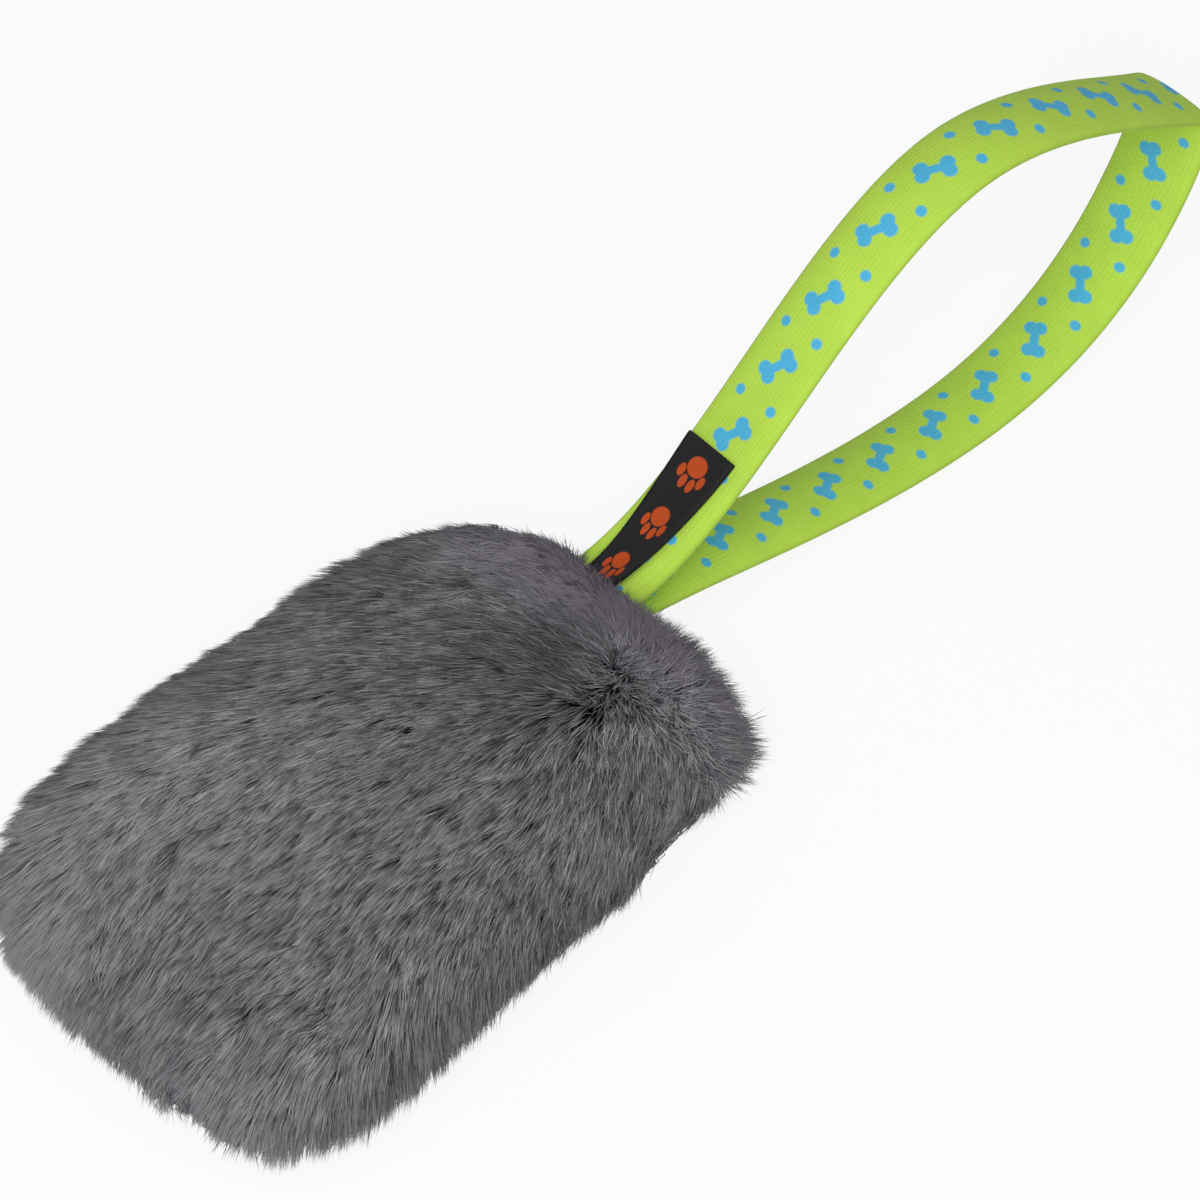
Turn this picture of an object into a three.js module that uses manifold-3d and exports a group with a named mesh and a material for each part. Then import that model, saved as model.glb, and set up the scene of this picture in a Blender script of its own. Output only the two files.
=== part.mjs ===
// Squeaky dog toy: a stuffed faux-fur pouch with a squeaker inside and a hand loop sewn into its mouth.
// Millimetres, +Z up. The origin is the middle of the flat patch under the pouch, +X runs to the loop.
import * as THREE from 'three';
import { mergeVertices } from 'three/addons/utils/BufferGeometryUtils.js';
import Module from 'manifold-3d';

const wasm = await Module();
wasm.setup();

// Pouch
const POUCH_LENGTH = 162;
const POUCH_WIDTH = 107;
const SEAM_HEIGHT = 31;
const TOP_RISE = 31;
const FUR_THICKNESS = 13;
const REST_FLAT_DEPTH = 0.5;
const SEAM_GAP = 1.4;
const PLAN_SQUARENESS = 4.5;
const TOP_ROUNDNESS = 2.25;
const BASE_ROUNDNESS = 3.2;
const MOUTH_NARROWING = 0.06;
const SIDE_BOW = 3.6;

// Filling
const FILLING_CLEARANCE = 0.4;
const WAD_GAP = 0.6;

// Strap: a flattened tube of webbing, folded into a loop
const STRAP_WIDTH = 20;
const STRAP_THICKNESS = 3.4;
const STRAND_GAP = 0.4;
const STRAP_SQUARENESS = 2.6;
const TIP_WIDENING = 1.2;
const STRAP_OFFSET = 12;
const STRAP_YAW = -2.7;
const MOUTH_INSET = 3.8;
const TAIL_LENGTH = 15;

// Loop outline, measured from the mouth
const CREST_REACH = 117;
const CREST_RISE = 67.5;
const TIP_REACH = 195.5;
const TIP_RISE = 35;
const FLOOR_REACH = 123;
const FLOOR_CLEARANCE = 0.3;
const TIP_FOLD = 4;
const UPPER_LEAVING_ANGLE = -3;
const LOWER_LEAVING_ANGLE = -11;
const UPPER_TIP_ANGLE = -27;
const LOWER_TIP_ANGLE = 81;

// Loop and label motion, in degrees
const SWING_UP = 45;
const SWING_DOWN = 20;
const SWING_CLEARANCE = 0.5;
const FAN_SPREAD = 70;

// Label
const LABEL_WIDTH = 16;
const LABEL_OFFSET = 1.6;
const LABEL_START = 6;
const LABEL_LENGTH = 40;
const LABEL_LEAF = 0.5;
const LABEL_FOLD_GAP = 0.4;
const LABEL_SEAT_GAP = 0.35;

// Thread
const THREAD_RADIUS = 0.35;
const THREAD_CLEARANCE = 0.3;
const STITCH_WAVE = 1.2;
const SIDE_STITCHES = 36;
const END_STITCHES = 4;
const TACK_TURNS = 3;
const TACK_PITCH = 1.6;
const SEAM_INSET = 10;

// Squeaker
const BULB_RADIUS = 13.5;
const BULB_LENGTH = 38;
const BULB_WALL = 1.2;
const NECK_RADIUS = 5.4;
const NECK_LENGTH = 8;
const NECK_BORE_RADIUS = 4.2;
const SQUEAKER_X = -6;
const INSERT_CLEARANCE = 0.3;
const FLANGE_THICKNESS = 1.2;
const AIR_CHANNEL_RADIUS = 1.4;
const REED_THICKNESS = 0.2;
const REED_WIDTH = 4.4;
const REED_CLEARANCE = 0.15;
const REED_ROOT = 1;
const REED_FLUTTER = 5;

const halfLength = POUCH_LENGTH / 2;
const halfWidth = POUCH_WIDTH / 2;
const stackHalf = STRAP_THICKNESS + STRAND_GAP / 2;
const strandOffset = (STRAP_THICKNESS + STRAND_GAP) / 2;
const threadRoom = 2 * (THREAD_RADIUS + THREAD_CLEARANCE);

const radians = THREE.MathUtils.degToRad;
const heading = (degrees) => new THREE.Vector2(Math.cos(radians(degrees)), Math.sin(radians(degrees)));
const signedPower = (value, power) => Math.sign(value) * Math.abs(value) ** power;

// Closed body through rings of equal point count, with a cap on a middle point at each end
function loft(rings, startPoint, endPoint) {
  const total = (ring) => ring.reduce((sum, p) => sum.add(p), new THREE.Vector3());
  const middle = (ring) => total(ring).divideScalar(ring.length);
  const count = rings[0].length;
  const points = [startPoint ?? middle(rings[0]), ...rings.flat(), endPoint ?? middle(rings.at(-1))];
  const last = points.length - 1;
  const index = [];
  for (let i = 0; i < count; i += 1) {
    const next = (i + 1) % count;
    index.push(0, 1 + next, 1 + i);
    for (let row = 0; row < rings.length - 1; row += 1) {
      const here = 1 + row * count;
      const there = here + count;
      index.push(here + i, here + next, there + next);
      index.push(here + i, there + next, there + i);
    }
    index.push(last, last - count + i, last - count + next);
  }
  const geometry = new THREE.BufferGeometry().setFromPoints(points);
  geometry.setIndex(index);
  return geometry;
}

// Booleans between closed geometries
function toSolid(geometry) {
  const bare = geometry.clone();
  bare.deleteAttribute('normal');
  bare.deleteAttribute('uv');
  const merged = mergeVertices(bare, 1e-4);
  const vertProperties = new Float32Array(merged.attributes.position.array);
  const triVerts = new Uint32Array(merged.index.array);
  return new wasm.Manifold(new wasm.Mesh({ numProp: 3, vertProperties, triVerts }));
}

function cut(geometry, ...cutters) {
  const solid = cutters.reduce((left, cutter) => left.subtract(toSolid(cutter)), toSolid(geometry));
  const mesh = solid.getMesh();
  const result = new THREE.BufferGeometry();
  result.setAttribute('position', new THREE.BufferAttribute(new Float32Array(mesh.vertProperties), 3));
  result.setIndex(new THREE.BufferAttribute(new Uint32Array(mesh.triVerts), 1));
  return result;
}

function boxBetween(low, high) {
  const size = new THREE.Vector3(high[0] - low[0], high[1] - low[1], high[2] - low[2]);
  const geometry = new THREE.BoxGeometry(size.x, size.y, size.z);
  return geometry.translate(low[0] + size.x / 2, low[1] + size.y / 2, low[2] + size.z / 2);
}

// Named mesh with the look of its material
function piece(name, geometry, look) {
  const mesh = new THREE.Mesh(geometry, new THREE.MeshStandardMaterial(look));
  mesh.name = name;
  return mesh;
}

const furLook = { color: '#666667', roughness: 0.95, metalness: 0 };
const threadLook = { color: '#4a4546', roughness: 0.8, metalness: 0 };
const webbingLook = { color: '#a9d14f', roughness: 0.7, metalness: 0 };
const labelLook = { color: '#19191c', roughness: 0.75, metalness: 0 };
const fillingLook = { color: '#eeeeea', roughness: 1, metalness: 0 };
const bulbLook = { color: '#f1f0e6', roughness: 0.45, metalness: 0 };
const insertLook = { color: '#f8f8f6', roughness: 0.35, metalness: 0 };
const reedLook = { color: '#d9dde0', roughness: 0.3, metalness: 0 };

// The stuffed pouch lies slightly bowed, so that its middle stands off to one side
const bowAt = (x) => SIDE_BOW * (1 - (x / halfLength) ** 2);

// Pouch outline in plan at a depth in from the fur's face: a rounded oblong, slightly narrower at the mouth
function outlinePoint(angle, inset, shrink = 1) {
  const x = (halfLength - inset) * signedPower(Math.cos(angle), 2 / PLAN_SQUARENESS) * shrink;
  const y = (halfWidth - inset) * signedPower(Math.sin(angle), 2 / PLAN_SQUARENESS) * shrink;
  return new THREE.Vector2(x, y * (1 - MOUTH_NARROWING * (x / halfLength)) + bowAt(x));
}

// Rings of one stuffed half, from the seam to near its crown. side is 1 for the top and -1 for the base
const COLUMNS = 48;
const CROWN_ANGLES = [0, 10, 21, 32, 44, 56, 67, 77, 84];
function pillowRings(side, rise, roundness, inset, startGap) {
  return CROWN_ANGLES.map((degrees) => {
    const shrink = Math.cos(radians(degrees)) ** (2 / roundness);
    const swell = Math.sin(radians(degrees)) ** (2 / roundness);
    const z = SEAM_HEIGHT + side * (startGap + (rise - inset - startGap) * swell);
    return Array.from({ length: COLUMNS }, (_, i) => {
      const angle = (side * i * 2 * Math.PI) / COLUMNS;
      const p = outlinePoint(angle, inset, shrink);
      return new THREE.Vector3(p.x, p.y, z);
    });
  });
}

function crownPoint(side, rise, inset) {
  return new THREE.Vector3(0, bowAt(0), SEAM_HEIGHT + side * (rise - inset));
}

// One half of the fur cover: a shell that runs from its inner crown, round the seam rim, to its outer crown
function furShell(side, rise, roundness) {
  const inner = pillowRings(side, rise, roundness, FUR_THICKNESS, SEAM_GAP / 2);
  const outer = pillowRings(side, rise, roundness, 0, SEAM_GAP / 2);
  const rings = [...inner.reverse(), ...outer];
  return loft(rings, crownPoint(side, rise, FUR_THICKNESS), crownPoint(side, rise, 0));
}

// One half of the filling, flat at the seam plane
function fillingWad(side, rise, roundness) {
  const inset = FUR_THICKNESS + FILLING_CLEARANCE;
  const rings = pillowRings(side, rise, roundness, inset, WAD_GAP / 2);
  const base = new THREE.Vector3(0, bowAt(0), SEAM_HEIGHT + (side * WAD_GAP) / 2);
  return loft(rings, base, crownPoint(side, rise, inset));
}

// Strap route in the loop's own upright plane: out over the crest, round the tip, back along the floor
const floorPoint = new THREE.Vector2(FLOOR_REACH, FLOOR_CLEARANCE + STRAP_THICKNESS / 2 - SEAM_HEIGHT);
const crestPoint = new THREE.Vector2(CREST_REACH, CREST_RISE);
const tipPoint = new THREE.Vector2(TIP_REACH, TIP_RISE);
const upperStart = new THREE.Vector2(0, strandOffset);
const lowerStart = new THREE.Vector2(0, -strandOffset);
const tipUpper = tipPoint.clone().addScaledVector(heading(UPPER_TIP_ANGLE), -TIP_FOLD);
const tipLower = tipPoint.clone().addScaledVector(heading(LOWER_TIP_ANGLE), -TIP_FOLD);

// Pull of the webbing's bend at each end of a stretch, as a share of that stretch's reach
function bend(from, fromAngle, fromPull, to, toAngle, toPull) {
  const span = from.distanceTo(to);
  const leave = from.clone().addScaledVector(heading(fromAngle), fromPull * span);
  const arrive = to.clone().addScaledVector(heading(toAngle), -toPull * span);
  return new THREE.CubicBezierCurve(from, leave, arrive, to);
}

const strapStretches = [
  { curve: bend(upperStart, UPPER_LEAVING_ANGLE, 0.295, crestPoint, 0, 0.335), steps: 17 },
  { curve: bend(crestPoint, 0, 0.335, tipUpper, UPPER_TIP_ANGLE, 0.17), steps: 12 },
  { curve: bend(tipUpper, UPPER_TIP_ANGLE, 0.42, tipLower, LOWER_TIP_ANGLE + 180, 0.42), steps: 7 },
  { curve: bend(tipLower, LOWER_TIP_ANGLE + 180, 0.25, floorPoint, 180, 0.53), steps: 13 },
  { curve: bend(floorPoint, 180, 0.35, lowerStart, 180 + LOWER_LEAVING_ANGLE, 0.25), steps: 16 },
];

// Section across the strap: a flattened tube
const SECTION_POINTS = 12;
function strapSection(centre, tangent, width) {
  const normal = new THREE.Vector2(-tangent.y, tangent.x);
  return Array.from({ length: SECTION_POINTS }, (_, i) => {
    const angle = (i * 2 * Math.PI) / SECTION_POINTS;
    const across = (width / 2) * signedPower(Math.cos(angle), 2 / STRAP_SQUARENESS);
    const through = (STRAP_THICKNESS / 2) * signedPower(Math.sin(angle), 2 / STRAP_SQUARENESS);
    const middle = centre.clone().addScaledVector(normal, through);
    return new THREE.Vector3(middle.x, across, middle.y);
  });
}

function strapLoop() {
  const rings = [];
  for (const { curve, steps } of strapStretches) {
    const first = rings.length === 0 ? 0 : 1;
    for (let i = first; i <= steps; i += 1) {
      const centre = curve.getPoint(i / steps);
      const tangent = curve.getTangent(i / steps);
      const share = THREE.MathUtils.clamp(centre.x / TIP_REACH, 0, 1);
      const width = STRAP_WIDTH * (1 + (TIP_WIDENING - 1) * share ** 3);
      rings.push(strapSection(centre, tangent, width));
    }
  }
  return loft(rings);
}

// Strap tails: what is sewn inside the mouth, behind the room that the swinging ends need
const swingRoom = stackHalf + SWING_CLEARANCE;
const tailFront = -(swingRoom + THREAD_CLEARANCE);
const tailBack = tailFront - TAIL_LENGTH;
function strapTail(height) {
  const rings = [tailBack, (tailFront + tailBack) / 2, tailFront].map((x) => {
    const centre = new THREE.Vector2(x, height);
    return strapSection(centre, heading(0), STRAP_WIDTH);
  });
  return loft(rings);
}

// Room in the mouth: a round and a fan for the swinging strap, a slot for its tails and the thread over them
function mouthCutters() {
  const reach = MOUTH_INSET + 4 * swingRoom;
  const fanWidth = STRAP_WIDTH + 2 * SWING_CLEARANCE;
  const round = new THREE.CylinderGeometry(swingRoom, swingRoom, fanWidth, 24);
  const top = heading(SWING_UP + FAN_SPREAD).multiplyScalar(reach);
  const low = heading(-SWING_DOWN - FAN_SPREAD).multiplyScalar(reach);
  const outline = new THREE.Shape([
    new THREE.Vector2(0, 0),
    low,
    new THREE.Vector2(reach, low.y),
    new THREE.Vector2(reach, top.y),
    top,
  ]);
  const fan = new THREE.ExtrudeGeometry(outline, { depth: fanWidth, bevelEnabled: false });
  fan.translate(0, 0, -fanWidth / 2).rotateX(Math.PI / 2);
  const slotHalf = STRAP_WIDTH / 2 + threadRoom + THREAD_CLEARANCE;
  const slotRise = stackHalf + threadRoom;
  const slot = boxBetween([tailBack - 1, -slotHalf, -slotRise], [0, slotHalf, slotRise]);
  return [round, fan, slot];
}

// Tube of thread through points, with its first corner on the given side
const THREAD_SIDES = 5;
function threadTube(points, startSide) {
  const normal = startSide.clone();
  const rings = points.map((point, i) => {
    const before = points[Math.max(i - 1, 0)];
    const after = points[Math.min(i + 1, points.length - 1)];
    const along = after.clone().sub(before).normalize();
    normal.addScaledVector(along, -normal.dot(along)).normalize();
    const across = along.clone().cross(normal);
    return Array.from({ length: THREAD_SIDES }, (_, k) => {
      const angle = (k * 2 * Math.PI) / THREAD_SIDES;
      const out = normal.clone().multiplyScalar(Math.cos(angle) * THREAD_RADIUS);
      return point.clone().add(out).addScaledVector(across, Math.sin(angle) * THREAD_RADIUS);
    });
  });
  return loft(rings);
}

// Side seam: a zigzag between the rims, round both sides and the closed end
const CORNER_ANGLE = Math.PI / 4;
function sideSeamPoints() {
  const count = 2 * SIDE_STITCHES;
  return Array.from({ length: count + 1 }, (_, i) => {
    const angle = CORNER_ANGLE + ((2 * Math.PI - 2 * CORNER_ANGLE) * i) / count;
    const wave = i % 2 === 0 ? STITCH_WAVE : -STITCH_WAVE;
    const p = outlinePoint(angle, SEAM_INSET + wave);
    return new THREE.Vector3(p.x, p.y, SEAM_HEIGHT);
  });
}

// Closing seam: the same zigzag across the mouth, lifted over the strap's tails, in the mouth's own frame
function closingSeamPoints(toMouth) {
  const bridgeHalf = STRAP_WIDTH / 2 + threadRoom / 2 + THREAD_CLEARANCE / 2;
  const bridgeRise = stackHalf + threadRoom / 2;
  const seamX = halfLength - SEAM_INSET;
  const endHalf = outlinePoint(CORNER_ANGLE * 0.85, SEAM_INSET).y;
  const stitchRow = (fromY, toY) => {
    const count = 2 * END_STITCHES;
    return Array.from({ length: count + 1 }, (_, i) => {
      const wave = i % 2 === 0 ? 0 : -STITCH_WAVE;
      const y = fromY + ((toY - fromY) * i) / count;
      return new THREE.Vector3(seamX + wave, y, SEAM_HEIGHT).applyMatrix4(toMouth);
    });
  };
  const bridgeX = new THREE.Vector3(seamX, STRAP_OFFSET, SEAM_HEIGHT).applyMatrix4(toMouth).x;
  const bridge = [
    new THREE.Vector3(bridgeX, -bridgeHalf, 0),
    new THREE.Vector3(bridgeX, -bridgeHalf, bridgeRise),
    new THREE.Vector3(bridgeX, bridgeHalf, bridgeRise),
    new THREE.Vector3(bridgeX, bridgeHalf, 0),
  ];
  const near = stitchRow(-endHalf, STRAP_OFFSET - bridgeHalf - 2 * STITCH_WAVE);
  const far = stitchRow(STRAP_OFFSET + bridgeHalf + 2 * STITCH_WAVE, endHalf);
  return [...near, ...bridge, ...far];
}

// Bar tack: turns of thread round both tails, where they reach into the filling
const TACK_STEPS = 20;
const TACK_SQUARENESS = 4;
function barTackPoints() {
  const half = STRAP_WIDTH / 2 + threadRoom / 2;
  const rise = stackHalf + threadRoom / 2;
  const start = tailBack + TACK_TURNS * TACK_PITCH + 1;
  return Array.from({ length: TACK_STEPS * TACK_TURNS + 1 }, (_, i) => {
    const angle = (i * 2 * Math.PI) / TACK_STEPS;
    const y = half * signedPower(Math.cos(angle), 2 / TACK_SQUARENESS);
    const z = rise * signedPower(Math.sin(angle), 2 / TACK_SQUARENESS);
    return new THREE.Vector3(start - (TACK_PITCH * i) / TACK_STEPS, y, z);
  });
}

// Label: one strip folded at its free end, lying along the upper strand's top, near its +Y edge
function labelGeometry() {
  const { curve } = strapStretches[0];
  const lower = STRAP_THICKNESS / 2 + LABEL_SEAT_GAP + LABEL_LEAF / 2;
  const foldRadius = (LABEL_FOLD_GAP + LABEL_LEAF) / 2;
  const total = curve.getLength();
  const at = (reach) => {
    const u = reach / total;
    return { centre: curve.getPointAt(u), tangent: curve.getTangentAt(u) };
  };
  const leafRing = (reach, lift, turn) => {
    const { centre, tangent } = at(reach);
    const normal = new THREE.Vector2(-tangent.y, tangent.x);
    const along = Math.sin(radians(turn)) * foldRadius;
    const middle = centre.clone().addScaledVector(normal, lift).addScaledVector(tangent, along);
    const face = normal.clone().rotateAround(new THREE.Vector2(), radians(turn - 180 * (turn > 90 ? 1 : 0)));
    const outward = turn > 90 ? face.multiplyScalar(-1) : face;
    return [[-1, -1], [1, -1], [1, 1], [-1, 1]].map(([across, through]) => {
      const p = middle.clone().addScaledVector(outward, (through * LABEL_LEAF) / 2);
      return new THREE.Vector3(p.x, LABEL_OFFSET + (across * LABEL_WIDTH) / 2, p.y);
    });
  };
  const LEAF_STEPS = 10;
  const leafEnd = LABEL_START + LABEL_LENGTH - foldRadius - LABEL_LEAF / 2;
  const reachAt = (i) => LABEL_START + ((leafEnd - LABEL_START) * i) / LEAF_STEPS;
  const out = Array.from({ length: LEAF_STEPS + 1 }, (_, i) => leafRing(reachAt(i), lower, 0));
  const foldLift = (turn) => lower + foldRadius * (1 - Math.cos(radians(turn)));
  const fold = [45, 90, 135].map((turn) => leafRing(leafEnd, foldLift(turn), turn));
  const back = Array.from({ length: LEAF_STEPS + 1 }, (_, i) =>
    leafRing(reachAt(LEAF_STEPS - i), lower + 2 * foldRadius, 180));
  return loft([...out, ...fold, ...back]);
}

// Squeaker, about its own +Y axis with the neck towards +Y
const bulbHalf = BULB_LENGTH / 2;
const neckEnd = bulbHalf + NECK_LENGTH - 2;
const LATHE_STEPS = 24;
function eggProfile(radius, half, stopRadius, steps) {
  const stop = Math.acos(stopRadius / radius);
  return Array.from({ length: steps + 1 }, (_, i) => {
    const angle = -Math.PI / 2 + ((stop + Math.PI / 2) * i) / steps;
    return new THREE.Vector2(i === 0 ? 0 : radius * Math.cos(angle), half * Math.sin(angle));
  });
}

function bulbGeometry() {
  const outer = eggProfile(BULB_RADIUS, bulbHalf, NECK_RADIUS, 12);
  const inner = eggProfile(BULB_RADIUS - BULB_WALL, bulbHalf - BULB_WALL, NECK_BORE_RADIUS, 10);
  const lip = [new THREE.Vector2(NECK_RADIUS, neckEnd), new THREE.Vector2(NECK_BORE_RADIUS, neckEnd)];
  return new THREE.LatheGeometry([...outer, ...lip, ...inner.reverse()], LATHE_STEPS);
}

const flangeStart = neckEnd + INSERT_CLEARANCE;
const flangeEnd = flangeStart + FLANGE_THICKNESS;
const insertRadius = NECK_BORE_RADIUS - INSERT_CLEARANCE;
const insertStart = neckEnd - NECK_LENGTH + 0.5;
const insertHead = flangeStart - INSERT_CLEARANCE;
const reedSeat = REED_THICKNESS / 2 + REED_CLEARANCE;

// The filling keeps clear of the bulb, its neck and the insert's flange
function squeakerEnvelope() {
  const swell = FILLING_CLEARANCE;
  const egg = eggProfile(BULB_RADIUS + swell, bulbHalf + swell, NECK_RADIUS + swell, 12);
  const end = flangeEnd + swell;
  return new THREE.LatheGeometry(
    [...egg, new THREE.Vector2(NECK_RADIUS + swell, end), new THREE.Vector2(0, end)], LATHE_STEPS);
}

function insertHolder() {
  const profile = [[0, insertStart], [insertRadius, insertStart], [insertRadius, flangeStart],
    [NECK_RADIUS, flangeStart], [NECK_RADIUS, flangeEnd], [0, flangeEnd]];
  const body = new THREE.LatheGeometry(profile.map(([r, y]) => new THREE.Vector2(r, y)), LATHE_STEPS);
  const far = 2 * NECK_RADIUS;
  const upperHalf = boxBetween([-far, insertStart - far, -reedSeat], [far, insertHead, far]);
  const channel = new THREE.CylinderGeometry(AIR_CHANNEL_RADIUS, AIR_CHANNEL_RADIUS, 4 * far, 16);
  channel.rotateY(Math.PI / 16).translate(0, insertStart, -reedSeat);
  return cut(body, upperHalf, channel);
}

const reedStart = insertStart + INSERT_CLEARANCE;
const reedEnd = insertHead - INSERT_CLEARANCE;
const reedPivot = reedEnd - REED_ROOT;
function reedWedge() {
  const length = reedEnd - reedStart;
  const far = 2 * NECK_RADIUS;
  const body = new THREE.CylinderGeometry(insertRadius, insertRadius, length, LATHE_STEPS);
  body.translate(0, reedStart + length / 2, 0);
  const lowerHalf = boxBetween([-far, reedStart - far, -far], [far, reedEnd + far, reedSeat]);
  const relief = boxBetween([-far, -far, -far], [far, 0, 0]);
  relief.rotateX(-radians(REED_FLUTTER + 4)).translate(0, reedPivot - REED_ROOT, reedSeat);
  return cut(body, lowerHalf, relief);
}

// Assembly
const toy = new THREE.Group();

const mouth = new THREE.Group();
mouth.position.set(halfLength - MOUTH_INSET, STRAP_OFFSET, SEAM_HEIGHT);
mouth.rotation.z = radians(STRAP_YAW);
mouth.updateMatrixWorld();

const squeaker = new THREE.Group();
squeaker.position.set(SQUEAKER_X, 0, SEAM_HEIGHT);
squeaker.rotation.z = Math.PI / 2;
squeaker.updateMatrixWorld();

const mouthRoom = mouthCutters().map((geometry) => geometry.applyMatrix4(mouth.matrixWorld));
const tailRoom = mouthRoom.at(-1);
const squeakerRoom = squeakerEnvelope().applyMatrix4(squeaker.matrixWorld);
const baseRise = SEAM_HEIGHT + REST_FLAT_DEPTH;
const underFloor = boxBetween([-halfLength, -halfWidth, -SEAM_HEIGHT], [halfLength, halfWidth, 0]);

const topPanel = cut(furShell(1, TOP_RISE, TOP_ROUNDNESS), ...mouthRoom);
const bottomPanel = cut(furShell(-1, baseRise, BASE_ROUNDNESS), ...mouthRoom, underFloor);
const topWad = cut(fillingWad(1, TOP_RISE, TOP_ROUNDNESS), squeakerRoom, tailRoom);
const bottomWad = cut(fillingWad(-1, baseRise, BASE_ROUNDNESS), squeakerRoom, tailRoom);
const closingSeam = closingSeamPoints(mouth.matrixWorld.clone().invert());

const up = new THREE.Vector3(0, 0, 1);
const out = new THREE.Vector3(1, 0, 0);

toy.add(
  piece('fur_top_panel', topPanel, furLook),
  piece('fur_bottom_panel', bottomPanel, furLook),
  piece('filling_top_wad', topWad, fillingLook),
  piece('filling_bottom_wad', bottomWad, fillingLook),
  piece('side_seam_thread', threadTube(sideSeamPoints(), up), threadLook),
  mouth,
  squeaker,
);

mouth.add(
  piece('closing_seam_thread', threadTube(closingSeam, up), threadLook),
  piece('strap_tail_upper', strapTail(strandOffset), webbingLook),
  piece('strap_tail_lower', strapTail(-strandOffset), webbingLook),
  piece('bar_tack_thread', threadTube(barTackPoints(), out), threadLook),
  piece('handle_strap', strapLoop(), webbingLook),
  piece('woven_label', labelGeometry(), labelLook),
);

const reedBlade = boxBetween(
  [-REED_WIDTH / 2, reedStart, -REED_THICKNESS / 2], [REED_WIDTH / 2, reedEnd, REED_THICKNESS / 2]);
squeaker.add(
  piece('squeaker_bulb', bulbGeometry(), bulbLook),
  piece('squeaker_reed_holder', insertHolder(), insertLook),
  piece('squeaker_reed', reedBlade, reedLook),
  piece('squeaker_reed_wedge', reedWedge(), insertLook),
);

export default toy;
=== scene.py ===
# %% [markdown]
# # A squeaky dog toy: faux-fur pouch, printed webbing loop, folded label
#
# The solids of the toy come in as a fixed frame. This lesson dresses that frame: the pouch gets a knitted
# backing and real strands of pile, the loop becomes woven webbing with a print, and the label becomes a
# folded ribbon. The toy's sizes are in millimetres, the camera, floor and lamp are placed in metres, and
# everything sits in the same place as the solids.

# %% Load the frame
import math
import bmesh
import bpy
import numpy as np
from mathutils import Matrix, Vector
from mathutils.kdtree import KDTree


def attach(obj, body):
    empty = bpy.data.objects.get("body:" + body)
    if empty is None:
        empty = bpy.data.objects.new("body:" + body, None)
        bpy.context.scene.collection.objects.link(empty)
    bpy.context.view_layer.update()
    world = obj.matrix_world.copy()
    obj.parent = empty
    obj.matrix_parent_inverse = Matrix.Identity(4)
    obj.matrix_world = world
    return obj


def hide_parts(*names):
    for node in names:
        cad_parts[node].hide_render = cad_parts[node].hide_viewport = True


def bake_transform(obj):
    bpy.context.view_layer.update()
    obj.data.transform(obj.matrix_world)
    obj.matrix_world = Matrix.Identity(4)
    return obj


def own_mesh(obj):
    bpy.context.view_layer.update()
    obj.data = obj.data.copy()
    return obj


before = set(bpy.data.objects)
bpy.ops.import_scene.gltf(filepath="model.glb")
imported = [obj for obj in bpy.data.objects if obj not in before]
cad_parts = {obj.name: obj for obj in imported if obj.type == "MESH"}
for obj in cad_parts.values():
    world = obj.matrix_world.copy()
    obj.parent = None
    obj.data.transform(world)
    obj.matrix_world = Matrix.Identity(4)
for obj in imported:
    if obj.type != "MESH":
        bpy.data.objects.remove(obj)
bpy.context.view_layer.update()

MM = 0.001

# %% [markdown]
# ## Small helpers
#
# Colours are picked as sRGB hex codes, and Blender works in linear light, so one function converts them.
# Another adds a shader node with its settings and links, and a third turns points and faces into a piece.

# %% Helpers for colours, nodes and meshes
def paint(code):
    """An sRGB hex code as the linear colour that Blender works with."""
    shares = [int(code[i:i + 2], 16) / 255 for i in (1, 3, 5)]
    linear = [s / 12.92 if s <= 0.04045 else ((s + 0.055) / 1.055) ** 2.4 for s in shares]
    return (*linear, 1.0)


def node(tree, kind, links=None, **settings):
    """Adds one node: settings are its properties, links its inputs, each a socket or a value."""
    made = tree.nodes.new(kind)
    for name, value in settings.items():
        setattr(made, name, value)
    for socket, value in (links or {}).items():
        if isinstance(value, bpy.types.NodeSocket):
            tree.links.new(value, made.inputs[socket])
        else:
            made.inputs[socket].default_value = value
    return made


def new_material(name, **surface):
    """A material with a Principled surface; surface gives the values that hold all over it."""
    material = bpy.data.materials.new(name)
    material.use_nodes = True
    shader = material.node_tree.nodes["Principled BSDF"]
    for socket, value in surface.items():
        shader.inputs[socket.replace("_", " ")].default_value = value
    return material, material.node_tree, shader


def mesh_piece(name, points, faces, material):
    """One smooth mesh object from points in millimetres."""
    mesh = bpy.data.meshes.new(name)
    mesh.from_pydata((np.asarray(points) * MM).tolist(), [], faces)
    mesh.materials.append(material)
    mesh.shade_smooth()
    piece = bpy.data.objects.new(name, mesh)
    bpy.context.scene.collection.objects.link(piece)
    return piece


def signed_power(values, power):
    """Values raised to a power, with their signs kept."""
    return np.sign(values) * np.abs(values) ** power


def unit(vectors):
    """Vectors scaled to a length of 1."""
    return vectors / np.maximum(np.linalg.norm(vectors, axis=-1, keepdims=True), 1e-9)


print("helpers ready")

# %% [markdown]
# ## Camera
#
# The photograph looks down at the toy from a corner, with the loop running away to the upper right. The
# angle and the distance were found by laying the solids' outline over the photograph. A long lens keeps the
# perspective as mild as it is there.

# %% Camera
LOOK_TURN = math.radians(45)
LOOK_DOWN = math.radians(50.74)
CAMERA_DISTANCE = 0.900
CAMERA_ASIDE = 0.04804
CAMERA_ABOVE = 0.06898
CAMERA_LENS = 118.6

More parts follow.
